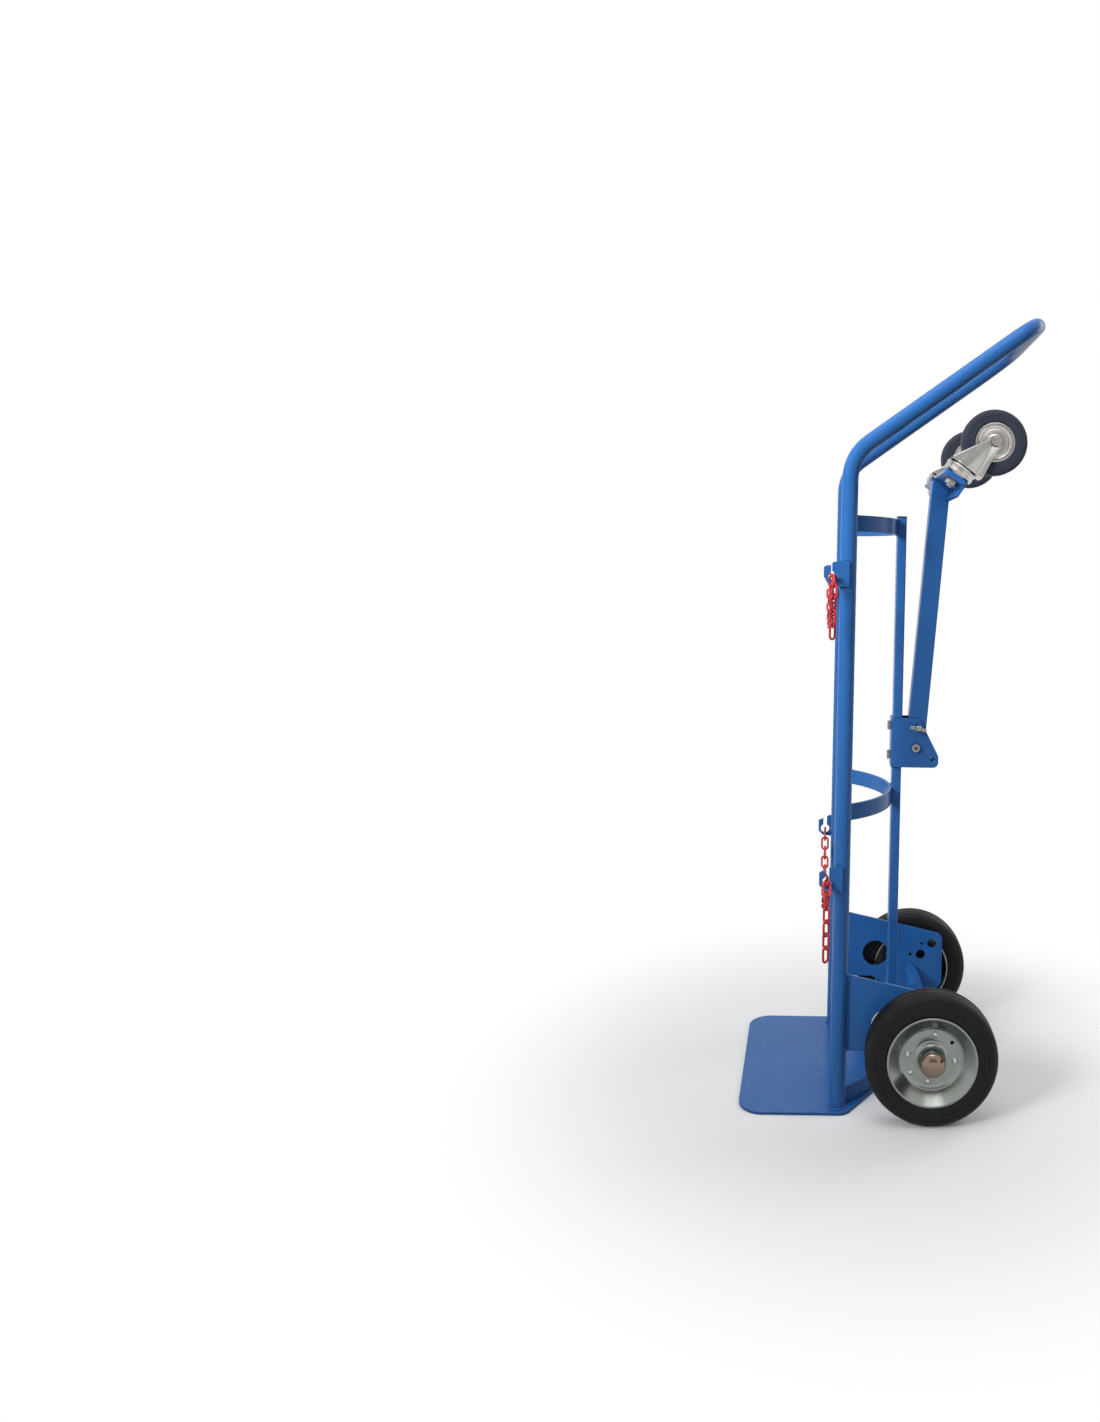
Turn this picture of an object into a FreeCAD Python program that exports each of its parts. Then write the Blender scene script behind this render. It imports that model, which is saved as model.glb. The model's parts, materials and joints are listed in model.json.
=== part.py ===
"""Two-wheeled gas cylinder trolley with a fold-down castor support.

A bent tube frame stands on a toe plate. Three flat-bar hoops cradle the cylinder, a rear post
carries a hinged leg with two castors, and two chains close the front. X points to the rear,
Y to the right of the person who pushes it, Z up; the origin lies on the floor under the axis of
the cylinder's seat. Lengths are in millimetres, angles in degrees.
"""
import FreeCAD, Part
import Sketcher
import math
import os
from FreeCAD import Vector

doc = FreeCAD.newDocument("CylinderTrolley")
sheet = doc.addObject("Spreadsheet::Sheet", "Sizes")


class Dim:
    """A length or angle that keeps its formula beside its present value."""

    def __init__(self, text, value):
        self.text = text
        self.value = value

    def joined(self, sign, other, value):
        return Dim(f"({self.text} {sign} {other.text})", value)

    def __add__(self, other):
        other = dim(other)
        return self.joined("+", other, self.value + other.value)

    def __sub__(self, other):
        other = dim(other)
        return self.joined("-", other, self.value - other.value)

    def __mul__(self, other):
        other = dim(other)
        return self.joined("*", other, self.value * other.value)

    def __truediv__(self, other):
        other = dim(other)
        return self.joined("/", other, self.value / other.value)

    def __neg__(self):
        return Dim(f"(0 - {self.text})", -self.value)


def dim(number):
    """Wrap a plain number."""
    return number if isinstance(number, Dim) else Dim(repr(float(number)), float(number))


def sine(angle):
    return Dim(f"sin({angle.text})", math.sin(math.radians(angle.value)))


def cosine(angle):
    return Dim(f"cos({angle.text})", math.cos(math.radians(angle.value)))


def tangent(angle):
    return Dim(f"tan({angle.text})", math.tan(math.radians(angle.value)))


def size(alias, value, note):
    """Write one driving dimension into the sheet and hand back its name."""
    size.row += 1
    sheet.set(f"A{size.row}", note)
    sheet.set(f"B{size.row}", str(value))
    sheet.setAlias(f"B{size.row}", alias)
    return Dim(f"Sizes.{alias}", float(value))


size.row = 1

# Frame tube and handle
tube_diameter = size("tube_diameter", 25.0, "frame tube, outside")
tube_wall = size("tube_wall", 2.0, "frame tube wall")
upright_x = size("upright_x", 47.0, "uprights behind the cylinder axis")
upright_y = size("upright_y", 145.0, "uprights to each side")
bend_z = size("bend_z", 1001.0, "height where the uprights turn back")
bend_radius = size("bend_radius", 70.0, "bend radius of the uprights")
arm_rise = size("arm_rise", 36.3, "slope of the handle arms")
arm_length = size("arm_length", 356.5, "handle arm from the bend to the grip")
bow_radius = size("bow_radius", 60.0, "corner radius of the grip")
# Toe plate
toe_thick = size("toe_thick", 4.0, "toe plate thickness")
toe_front = size("toe_front", 105.0, "toe plate ahead of the cylinder axis")
toe_half = size("toe_half", 167.0, "half width of the toe plate")
toe_side = size("toe_side", 60.0, "where its rear corners are cut off")
toe_rear = size("toe_rear", 152.0, "toe plate behind the cylinder axis")
toe_tail = size("toe_tail", 26.0, "half width of its rear edge")
toe_front_radius = size("toe_front_radius", 38.0, "front corner radius")
toe_side_radius = size("toe_side_radius", 22.0, "side corner radius")
# Hoops
hoop_high = size("hoop_high", 25.0, "flat bar height")
hoop_thick = size("hoop_thick", 4.0, "flat bar thickness")
hoop_top_z = size("hoop_top_z", 900.0, "height of the top hoop")
hoop_mid_z = size("hoop_mid_z", 458.0, "height of the middle hoop")
# Rear post
post_x = size("post_x", 138.0, "post centre behind the cylinder axis")
post_deep = size("post_deep", 15.0, "post depth")
post_wide = size("post_wide", 30.0, "post width")
post_wall = size("post_wall", 1.5, "post wall")
tube_corner_radius = size("tube_corner_radius", 2.5, "outside corners of the square tubes")
post_top = size("post_top", 915.0, "height of the post's open end")
cap_thick = size("cap_thick", 3.0, "post cap above the end")
plug_deep = size("plug_deep", 10.0, "post cap plug")
plug_play = size("plug_play", 0.2, "play round the plug")
# Axle and its plates
axle_x = size("axle_x", 186.0, "axle behind the cylinder axis")
axle_diameter = size("axle_diameter", 16.0, "axle rod")
axle_play = size("axle_play", 0.25, "play of the rod in its holes")
sleeve_diameter = size("sleeve_diameter", 25.0, "tube round the axle")
plate_thick = size("plate_thick", 4.0, "axle plate thickness")
plate_front_top = size("plate_front_top", 109.0, "plate's front edge above the axle")
plate_rear_top = size("plate_rear_top", 69.5, "plate's rear edge above the axle")
plate_back = size("plate_back", 55.0, "plate behind the axle")
plate_drop = size("plate_drop", 30.0, "plate below the axle")
plate_step = size("plate_step", 36.0, "flat bottom ahead of the axle")
plate_foot = size("plate_foot", 9.0, "front of the plate below the axle")
plate_corner_radius = size("plate_corner_radius", 14.0, "rounded rear corners")
spare_x = size("spare_x", 16.0, "first spare axle hole behind the axle")
spare_z = size("spare_z", 31.5, "first spare axle hole above the axle")
spare_step = size("spare_step", 20.5, "step to the second spare hole, both ways")
locate_diameter = size("locate_diameter", 6.0, "small locating holes")
locate_off = size("locate_off", 18.5, "locating hole ahead of its axle hole")
window_diameter = size("window_diameter", 46.0, "large hole in the plate")
window_x = size("window_x", 66.0, "large hole ahead of the axle")
window_z = size("window_z", 32.5, "large hole above the axle")
# Main wheels
wheel_radius = size("wheel_radius", 100.0, "wheel radius")
wheel_y = size("wheel_y", 180.0, "wheel centre to each side")
tyre_half = size("tyre_half", 22.0, "half width of the tyre")
tread_half = size("tread_half", 11.0, "half width of the flat tread")
tyre_shoulder = size("tyre_shoulder", 12.0, "tread shoulder drop")
tyre_bead = size("tyre_bead", 2.0, "bevel of the tyre at its rim")
flank_round = size("flank_round", 16.0, "rounding where the sidewall meets the shoulder")
tread_round = size("tread_round", 20.0, "rounding where the shoulder meets the tread")
rim_radius = size("rim_radius", 68.0, "rim radius under the tyre")
rim_thick = size("rim_thick", 3.0, "rim sheet")
rim_half = size("rim_half", 22.5, "half width of the rim")
dish_radius = size("dish_radius", 46.0, "radius of the flat disc")
dish_y = size("dish_y", 4.0, "disc face outside the wheel's middle")
dish_round = size("dish_round", 12.0, "rounding from the flat disc into the rim's bowl")
hub_radius = size("hub_radius", 17.0, "hub tube radius")
bush_radius = size("bush_radius", 12.0, "bearing bush radius")
hub_out = size("hub_out", 27.0, "hub outside the wheel's middle")
hub_in = size("hub_in", 21.0, "hub inside the wheel's middle")
run_play = size("run_play", 0.05, "running play on shafts")
face_play = size("face_play", 0.5, "gap between turning faces")
rivet_pitch_radius = size("rivet_pitch_radius", 36.0, "circle of the rim rivets")
rivet_head_radius = size("rivet_head_radius", 4.5, "rivet head radius")
rivet_head_high = size("rivet_head_high", 2.2, "rivet head height")
rivet_flat = size("rivet_flat", 2.7, "flat top of a rivet head, radius")
rivet_round = size("rivet_round", 2.5, "rounding of a rivet head")
rivet_turn = size("rivet_turn", -8.0, "angle of the first rivet")
rivet_radius = size("rivet_radius", 2.5, "rivet shank radius")
vent_pitch_radius = size("vent_pitch_radius", 38.5, "circle of the two small disc holes")
vent_turn = size("vent_turn", 37.0, "angle of the first small disc hole")
vent_radius = size("vent_radius", 3.0, "small disc hole radius")
hubcap_radius = size("hubcap_radius", 18.8, "axle cap radius")
hubcap_band = size("hubcap_band", 3.5, "straight part of the axle cap")
hubcap_dome = size("hubcap_dome", 7.0, "dome of the axle cap")
hubcap_flat = size("hubcap_flat", 8.5, "flat top of the axle cap, radius")
hubcap_edge = size("hubcap_edge", 6.5, "rounding at the foot of the dome")
hubcap_round = size("hubcap_round", 18.0, "rounding at the top of the dome")
# Hinge bracket
pivot_x = size("pivot_x", 168.0, "leg hinge behind the cylinder axis")
pivot_z = size("pivot_z", 538.0, "leg hinge height")
pivot_diameter = size("pivot_diameter", 8.0, "hinge bolt")
cheek_thick = size("cheek_thick", 3.0, "bracket sheet")
cheek_play = size("cheek_play", 0.5, "gap beside the leg and the post")
cheek_top = size("cheek_top", 48.0, "bracket above the hinge")
cheek_low = size("cheek_low", 33.0, "bracket below the hinge")
cheek_back = size("cheek_back", 38.0, "bracket behind the hinge")
cheek_nose = size("cheek_nose", 6.0, "rear end of the bracket's top edge")
cheek_knee = size("cheek_knee", 14.0, "bracket's rear corner below the hinge")
cheek_corner_radius = size("cheek_corner_radius", 9.0, "bracket's rear corner radius")
bolt_diameter = size("bolt_diameter", 8.0, "bracket bolts")
bolt_play = size("bolt_play", 0.2, "play round fixed bolts")
bolt_high = size("bolt_high", 34.0, "upper bracket bolt above the hinge")
bolt_low = size("bolt_low", 15.0, "lower bracket bolt below the hinge")
hex_flat = size("hex_flat", 13.0, "bracket bolt hexagon across flats")
hex_head = size("hex_head", 5.3, "bolt head height")
hex_nut = size("hex_nut", 5.0, "nut height")
bolt_end = size("bolt_end", 1.5, "bolt end beyond its nut")
cap_head_radius = size("cap_head_radius", 6.5, "hinge bolt head radius")
cap_head = size("cap_head", 6.0, "hinge bolt head height")
socket_flat = size("socket_flat", 6.0, "hexagon socket across flats")
socket_deep = size("socket_deep", 3.5, "hexagon socket depth")
# Leg and castor beam
leg_lean = size("leg_lean", 4.3, "folded leg leans back")
leg_fold = size("leg_fold", 119.7, "turn of the leg to its second lock hole")
leg_side = size("leg_side", 30.0, "leg tube outside")
leg_wall = size("leg_wall", 2.0, "leg tube wall")
leg_solid = size("leg_solid", 12.0, "closed end of the leg above the hinge")
bush_wall = size("bush_wall", 3.0, "hinge bush wall")
lock_radius = size("lock_radius", 34.0, "lock holes from the hinge")
lock_diameter = size("lock_diameter", 8.0, "lock pin")
slide_play = size("slide_play", 0.3, "play round the lock pin")
lock_back = size("lock_back", 0.5, "pin tip short of the leg when drawn")
lock_travel = size("lock_travel", 8.0, "inward travel of the lock pin")
knob_radius = size("knob_radius", 5.5, "lock pin knob")
knob_neck = size("knob_neck", 4.7, "foot of the knob, radius")
knob_top = size("knob_top", 3.3, "top of the knob, radius")
knob_round = size("knob_round", 3.0, "rounding of the knob")
wing_half = size("wing_half", 13.5, "half span of the pin's wings")
wing_high = size("wing_high", 3.2, "half height of the pin's wings")
wing_tip = size("wing_tip", 1.9, "upper edge of the wings at their tips")
wing_thick = size("wing_thick", 3.0, "thickness of the pin's wings")
wing_turn = size("wing_turn", 8.0, "slant of the pin's wings")
beam_off = size("beam_off", 6.3, "castor beam behind the leg axis")
beam_reach = size("beam_reach", 435.7, "castor beam from the hinge")
beam_tilt = size("beam_tilt", 29.7, "castor beam turned against the leg")
beam_wide = size("beam_wide", 40.0, "castor beam width")
beam_thick = size("beam_thick", 8.0, "castor beam thickness")
beam_half = size("beam_half", 146.0, "half length of the castor beam")
flange_drop = size("flange_drop", 18.0, "turned-down rear edge of the castor beam")
flange_thick = size("flange_thick", 5.0, "thickness of the turned-down edge")
beam_corner_radius = size("beam_corner_radius", 6.0, "castor beam corner radius")
# Castors
castor_inset = size("castor_inset", 20.0, "castor from the end of its beam")
king_diameter = size("king_diameter", 10.0, "castor kingpin")
king_flat = size("king_flat", 17.0, "kingpin nut across flats")
king_nut = size("king_nut", 8.0, "kingpin nut height")
king_end = size("king_end", 3.0, "kingpin end beyond its nut")
king_head_radius = size("king_head_radius", 8.5, "kingpin head radius")
king_head = size("king_head", 2.6, "kingpin head height")
race_radius = size("race_radius", 24.0, "swivel head radius")
race_high = size("race_high", 16.5, "swivel head height")
race_edge = size("race_edge", 2.5, "rounded edge of the swivel head")
crown_radius = size("crown_radius", 23.0, "fork crown radius")
fork_thick = size("fork_thick", 2.5, "fork sheet")
fork_gap = size("fork_gap", 35.0, "space between the fork's sides")
fork_eye_radius = size("fork_eye_radius", 9.0, "fork end radius")
fork_rear = size("fork_rear", 33.0, "rear edge of the fork under its crown")
fork_top = size("fork_top", 23.0, "front edge of the fork under its crown")
castor_drop = size("castor_drop", 78.5, "castor axle from the beam's middle")
castor_trail = size("castor_trail", 18.0, "castor axle beside the swivel axis")
castor_radius = size("castor_radius", 50.0, "castor wheel radius")
castor_half = size("castor_half", 15.0, "half width of the castor tyre")
castor_tread = size("castor_tread", 8.0, "half width of the castor's flat tread")
castor_shoulder = size("castor_shoulder", 6.4, "castor tread shoulder drop")
castor_bead = size("castor_bead", 2.0, "bevel of the castor tyre at its disc")
castor_flank_round = size("castor_flank_round", 6.0, "rounding of the castor's sidewall edge")
castor_tread_round = size("castor_tread_round", 12.0, "rounding of the castor's tread edge")
castor_rim_radius = size("castor_rim_radius", 30.0, "castor disc radius under the tyre")
castor_disc_radius = size("castor_disc_radius", 23.0, "castor disc's flat face")
castor_disc_half = size("castor_disc_half", 8.0, "half thickness of the castor disc")
castor_hub_radius = size("castor_hub_radius", 10.0, "castor hub")
castor_axle_diameter = size("castor_axle_diameter", 8.0, "castor axle bolt")
castor_head_radius = size("castor_head_radius", 6.8, "castor axle head")
castor_head = size("castor_head", 4.0, "castor axle head height")
# Chains and their eye plates
eye_x = size("eye_x", 24.0, "chain eyes behind the cylinder axis")
eye_top_z = size("eye_top_z", 818.0, "height of the top chain's eyes")
eye_low_z = size("eye_low_z", 356.0, "height of the low chain's eyes")
eye_radius = size("eye_radius", 7.8, "eye radius")
slot_half = size("slot_half", 3.2, "half width of the eye's slot")
eye_thick = size("eye_thick", 4.0, "eye plate thickness")
eye_edge = size("eye_edge", 4.0, "metal round the eye")
eye_plate_low = size("eye_plate_low", 15.0, "eye plate below the eye")
eye_plate_top = size("eye_plate_top", 24.0, "eye plate above the eye")
eye_plate_front = size("eye_plate_front", 14.4, "front of the eye plate above the eye")
eye_lap = size("eye_lap", 14.0, "eye plate over the tube")
link_wire = size("link_wire", 3.6, "chain wire")
link_inner = size("link_inner", 20.0, "inside length of a chain link")
link_gap = size("link_gap", 0.4, "slack between chain links")
link_width = size("link_width", 7.0, "inside width of a chain link")
chain_sag = size("chain_sag", 82.0, "sag of a chain between its eyes")
tail_top = size("tail_top", 5, "links hanging below the top chain's eye")
tail_low = size("tail_low", 6, "links hanging below the low chain's eye")
link_roll = size("link_roll", 45.0, "roll of each link about the chain, to either side in turn")
doc.recompute()

nodes = []


class Frame:
    """A placement that keeps its formula."""

    def __init__(self, x=0, y=0, z=0, axis=(0, 1, 0), angle=0, text=None):
        if text is None:
            x, y, z, angle = dim(x), dim(y), dim(z), dim(angle)
            text = (f"placement(vector({x.text}; {y.text}; {z.text}); "
                    f"rotation(vector({axis[0]}; {axis[1]}; {axis[2]}); {angle.text}))")
        self.text = text

    def __mul__(self, other):
        return Frame(text=f"{self.text} * {other.text}")


def body(name, frame=None):
    """Start a body; names without a capital become files."""
    made = doc.addObject("PartDesign::Body", name)
    made.Label = name
    if frame is not None:
        made.setExpression("Placement", frame.text)
    return made


def node(made, name):
    """Register a finished piece under its file name."""
    made.Label = name
    nodes.append(made)
    return made


def group(name, pieces):
    """Several separate solids kept in one node."""
    made = doc.addObject("Part::Compound", name)
    made.Links = pieces
    return node(made, name)


def sketch(host, role, loops, lift=None):
    """Draw closed outlines on one of the body's own planes.

    A loop is a list of corner points, or a centre and a radius for a circle.
    """
    plane = [f for f in host.Origin.OriginFeatures if f.Role == role][0]
    drawn = host.newObject("Sketcher::SketchObject", host.Name + "Sketch")
    drawn.AttachmentSupport = [(plane, "")]
    drawn.MapMode = "FlatFace"
    if lift is not None:
        drawn.setExpression("AttachmentOffset.Base.z", lift.text)
    for loop in loops:
        if isinstance(loop, tuple):
            circle(drawn, *loop)
        else:
            polygon(drawn, loop)
    return drawn


def pin_point(drawn, geo, spot, x, y):
    """Fix one point of a sketch by two bound distances from the origin."""
    for kind, length in (("DistanceX", x), ("DistanceY", y)):
        length = dim(length)
        number = drawn.addConstraint(Sketcher.Constraint(kind, -1, 1, geo, spot, length.value))
        drawn.setExpression(f"Constraints[{number}]", length.text)


def circle(drawn, x, y, radius):
    x, y, radius = dim(x), dim(y), dim(radius)
    shape = Part.Circle(Vector(x.value, y.value, 0), Vector(0, 0, 1), radius.value)
    geo = drawn.addGeometry(shape, False)
    pin_point(drawn, geo, 3, x, y)
    number = drawn.addConstraint(Sketcher.Constraint("Radius", geo, radius.value))
    drawn.setExpression(f"Constraints[{number}]", radius.text)


def polygon(drawn, points):
    points = [(dim(x), dim(y)) for x, y in points]
    spots = [Vector(x.value, y.value, 0) for x, y in points]
    first = drawn.GeometryCount
    count = len(points)
    for i in range(count):
        drawn.addGeometry(Part.LineSegment(spots[i], spots[(i + 1) % count]), False)
    for i in range(count):
        after = first + (i + 1) % count
        drawn.addConstraint(Sketcher.Constraint("Coincident", first + i, 2, after, 1))
    for i in range(count):
        pin_point(drawn, first + i, 1, *points[i])


def pad(host, drawn, length, both=True):
    """Thicken an outline, by default to both sides of its plane."""
    made = host.newObject("PartDesign::Pad", host.Name + "Pad")
    made.Profile = drawn
    made.setExpression("Length", dim(length).text)
    made.Midplane = both
    doc.recompute()
    return made


def pocket(host, drawn, length=None):
    """Cut an outline to both sides of its plane, right through or to a total width."""
    before = host.Shape.Volume
    made = host.newObject("PartDesign::Pocket", host.Name + "Pocket")
    made.Profile = drawn
    made.Midplane = True
    if length is None:
        made.Type = "ThroughAll"
    else:
        made.setExpression("Length", dim(length).text)
    doc.recompute()
    if host.Shape.Volume >= before - 1e-6:
        raise RuntimeError(f"{host.Label}: a cut removed nothing")
    return made


def spin(host, points, role):
    """Turn an outline of radius and height pairs round the sketch's upright axis."""
    drawn = sketch(host, role, [points])
    made = host.newObject("PartDesign::Revolution", host.Name + "Turned")
    made.Profile = drawn
    made.ReferenceAxis = (drawn, ["V_Axis"])
    made.Angle = 360
    doc.recompute()
    return made


def round_edges(host, radius, wanted):
    """Round the straight edges whose middle passes the test."""
    feature = host.Tip
    names = []
    for number, edge in enumerate(feature.Shape.Edges, start=1):
        ends = edge.Vertexes
        if len(ends) == 2 and edge.Curve.TypeId == "Part::GeomLine":
            middle = (ends[0].Point + ends[1].Point) * 0.5
            if wanted(middle, ends[1].Point - ends[0].Point):
                names.append(f"Edge{number}")
    made = host.newObject("PartDesign::Fillet", host.Name + "Round")
    made.Base = (feature, names)
    made.setExpression("Radius", radius.text)
    doc.recompute()
    return made


def round_rings(host, radius, rings):
    """Round circular edges of a turned piece, each given by its radius and its place on the axis."""
    feature = host.Tip
    names = []
    for number, edge in enumerate(feature.Shape.Edges, start=1):
        if edge.Curve.TypeId == "Part::GeomCircle":
            place = sum(edge.Curve.Center)
            for ring, spot in rings:
                if abs(edge.Curve.Radius - ring.value) < 0.01 and abs(place - spot.value) < 0.01:
                    names.append(f"Edge{number}")
    if len(names) != len(rings):
        raise RuntimeError(f"{host.Label}: {len(names)} of {len(rings)} edges to round were found")
    made = host.newObject("PartDesign::Fillet", host.Name + "Ring")
    made.Base = (feature, names)
    made.setExpression("Radius", radius.text)
    doc.recompute()
    return made


def along(run, axis):
    """Whether an edge runs along one axis."""
    return abs(run.normalize()[axis]) > 0.999 if run.Length > 1e-6 else False


def sweep_tube(host, path_role, steps, ring_role, ring_spot):
    """Sweep the frame tube along straight runs and tangent bends.

    A run is given by its two ends; a bend by its radius, its centre, the angles it spans and
    the end that meets the piece before it.
    """
    plane = [f for f in host.Origin.OriginFeatures if f.Role == path_role][0]
    path = host.newObject("Sketcher::SketchObject", host.Name + "Path")
    path.AttachmentSupport = [(plane, "")]
    path.MapMode = "FlatFace"
    joint = None
    for step in steps:
        if step[0] == "run":
            (ax, ay), (bx, by) = [(dim(x), dim(y)) for x, y in step[1:]]
            line = Part.LineSegment(Vector(ax.value, ay.value, 0), Vector(bx.value, by.value, 0))
            geo = path.addGeometry(line, False)
            pin_point(path, geo, 1, ax, ay)
            pin_point(path, geo, 2, bx, by)
            first, final = 1, 2
        else:
            radius, (cx, cy), (start, end), first = step[1:]
            round_line = Part.Circle(Vector(dim(cx).value, dim(cy).value, 0), Vector(0, 0, 1), radius.value)
            arc = Part.ArcOfCircle(round_line, math.radians(start), math.radians(end))
            geo = path.addGeometry(arc, False)
            final = 3 - first
            if step is steps[0] or step is steps[-1]:
                pin_point(path, geo, 3, cx, cy)
                free_end = first if step is steps[0] else final
                path.addConstraint(Sketcher.Constraint("Vertical", geo, free_end, geo, 3))
            else:
                number = path.addConstraint(Sketcher.Constraint("Radius", geo, radius.value))
                path.setExpression(f"Constraints[{number}]", radius.text)
        if joint is not None:
            path.addConstraint(Sketcher.Constraint("Coincident", *joint, geo, first))
        joint = (geo, final)
    outside = tube_diameter / 2
    ring = sketch(host, ring_role, [(*ring_spot, outside), (*ring_spot, outside - tube_wall)])
    made = host.newObject("PartDesign::AdditivePipe", host.Name + "Tube")
    made.Profile = ring
    made.Spine = path
    doc.recompute()
    return made


SIDES = (("left", -1), ("right", 1))
QUARTER_TURN = 90

# The frame: two uprights that turn back into handle arms, and the grip between them
arm_bend = dim(QUARTER_TURN) - arm_rise
bend_run = bend_radius * tangent(arm_bend / 2)
bend_up = bend_z - toe_thick
grip_run = arm_length - bow_radius
for side, sign in SIDES:
    tube = body(f"frame_tube_{side}", Frame(upright_x, upright_y * sign, toe_thick))
    bend_end = (bend_run * cosine(arm_rise), bend_up + bend_run * sine(arm_rise))
    arm_end = (grip_run * cosine(arm_rise), bend_up + grip_run * sine(arm_rise))
    sweep_tube(tube, "XZ_Plane", [
        ("run", (0, 0), (0, bend_up - bend_run)),
        ("bend", bend_radius, (bend_radius, bend_up - bend_run), (90 + arm_rise.value, 180), 2),
        ("run", bend_end, arm_end),
    ], "XY_Plane", (0, 0))
    node(tube, f"frame_tube_{side}")

bow = body("handle_bow", Frame(upright_x + grip_run * cosine(arm_rise), 0,
                               bend_z + grip_run * sine(arm_rise), (0, 1, 0), -arm_rise))
straight = upright_y - bow_radius
sweep_tube(bow, "XY_Plane", [
    ("bend", bow_radius, (0, -straight), (-90, 0), 1),
    ("run", (bow_radius, -straight), (bow_radius, straight)),
    ("bend", bow_radius, (0, straight), (0, 90), 1),
], "YZ_Plane", (-upright_y, 0))
node(bow, "handle_bow")

# The toe plate, with rounded front corners and its rear corners cut off
toe = body("toe_plate")
pad(toe, sketch(toe, "XY_Plane", [[
    (-toe_front, -toe_half), (toe_side, -toe_half), (toe_rear, -toe_tail),
    (toe_rear, toe_tail), (toe_side, toe_half), (-toe_front, toe_half),
]]), toe_thick, both=False)
round_edges(toe, toe_front_radius, lambda at, run: along(run, 2) and at.x < 0)
round_edges(toe, toe_side_radius, lambda at, run: along(run, 2) and abs(at.x - toe_side.value) < 0.01)
node(toe, "toe_plate")

# Three hoops, each an arc of flat bar from tube to tube that touches the post
post_front = post_x - post_deep / 2
hoop_deep = post_front - upright_x
hoop_radius = (upright_y * upright_y + hoop_deep * hoop_deep) / (hoop_deep * 2)
hoop_x = post_front - hoop_radius
for name, height in (("hoop_top", hoop_top_z), ("hoop_middle", hoop_mid_z),
                     ("hoop_base", toe_thick + hoop_high / 2)):
    hoop = body(name, Frame(0, 0, height))
    rings = [(hoop_x, 0, hoop_radius), (hoop_x, 0, hoop_radius - hoop_thick)]
    pad(hoop, sketch(hoop, "XY_Plane", rings), hoop_high)
    ahead = hoop_x - hoop_radius * 2
    aside = hoop_radius * 2
    pocket(hoop, sketch(hoop, "XY_Plane", [[
        (ahead, -aside), (upright_x, -aside), (upright_x, aside), (ahead, aside),
    ]]))
    tubes = [(upright_x, upright_y * sign, tube_diameter / 2) for side, sign in SIDES]
    pocket(hoop, sketch(hoop, "XY_Plane", tubes))
    node(hoop, name)


def rectangle(wide, high, x=0, y=0):
    """Corners of a rectangle about a point."""
    x, y = dim(x), dim(y)
    return [(x - wide / 2, y - high / 2), (x + wide / 2, y - high / 2),
            (x + wide / 2, y + high / 2), (x - wide / 2, y + high / 2)]


def on_corner(at, wide, high):
    """Whether a point lies over an outer corner of a tube centred on the axis."""
    return abs(at.x) > wide.value / 2 - 0.01 and abs(at.y) > high.value / 2 - 0.01


# The rear post and its cap; the bracket's bolts pass through the post
post = body("rear_post", Frame(post_x, 0, toe_thick))
inside_deep = post_deep - post_wall * 2
inside_wide = post_wide - post_wall * 2
pad(post, sketch(post, "XY_Plane", [rectangle(post_deep, post_wide), rectangle(inside_deep, inside_wide)]),
    post_top - toe_thick, both=False)
round_edges(post, tube_corner_radius, lambda at, run: along(run, 2) and on_corner(at, post_deep, post_wide))
bolt_heights = (pivot_z + bolt_high, pivot_z - bolt_low)
bolt_hole = bolt_diameter / 2 + bolt_play
pocket(post, sketch(post, "YZ_Plane", [(0, z - toe_thick, bolt_hole) for z in bolt_heights]))
node(post, "rear_post")

cap = body("post_cap", Frame(post_x, 0, post_top))
pad(cap, sketch(cap, "XY_Plane", [rectangle(post_deep, post_wide)]), cap_thick, both=False)
round_edges(cap, tube_corner_radius, lambda at, run: along(run, 2))
plug = pad(cap, sketch(cap, "XY_Plane", [
    rectangle(inside_deep - plug_play * 2, inside_wide - plug_play * 2)]), plug_deep, both=False)
plug.Reversed = True
node(cap, "post_cap")

# Axle plates behind the uprights, with spare axle holes and a large hole
plate_front = upright_x + tube_diameter / 2 - axle_x
axle_radius = axle_diameter / 2
axle_hole = axle_radius + axle_play
axle_spots = [(dim(0), dim(0)), (spare_x, spare_z), (spare_x + spare_step, spare_z + spare_step)]
for side, sign in SIDES:
    plate = body(f"axle_plate_{side}", Frame(axle_x, upright_y * sign, wheel_radius))
    pad(plate, sketch(plate, "XZ_Plane", [[
        (plate_front, plate_front_top), (plate_front, -plate_foot), (-plate_step * 2, -plate_foot),
        (-plate_step, -plate_drop), (plate_back, -plate_drop), (plate_back, plate_rear_top),
    ]]), plate_thick)
    round_edges(plate, plate_corner_radius, lambda at, run: along(run, 1) and at.x > plate_back.value - 0.01)
    holes = [(x, z, axle_hole) for x, z in axle_spots]
    holes += [(x - locate_off, z, locate_diameter / 2) for x, z in axle_spots[1:]]
    holes += [(-window_x, window_z, window_diameter / 2)]
    pocket(plate, sketch(plate, "XZ_Plane", holes))
    node(plate, f"axle_plate_{side}")

plate_inner = upright_y - plate_thick / 2
plate_outer = upright_y + plate_thick / 2
axle_line = Frame(axle_x, 0, wheel_radius)
sleeve = body("axle_sleeve", axle_line)
spin(sleeve, [(axle_hole, -plate_inner), (sleeve_diameter / 2, -plate_inner),
              (sleeve_diameter / 2, plate_inner), (axle_hole, plate_inner)], "XY_Plane")
node(sleeve, "axle_sleeve")

hub_face = wheel_y + hub_out + face_play
axle_end = hub_face + hubcap_band
axle = body("axle_rod", axle_line)
spin(axle, [(0, -axle_end), (axle_radius, -axle_end), (axle_radius, axle_end), (0, axle_end)], "XY_Plane")
node(axle, "axle_rod")

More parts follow.
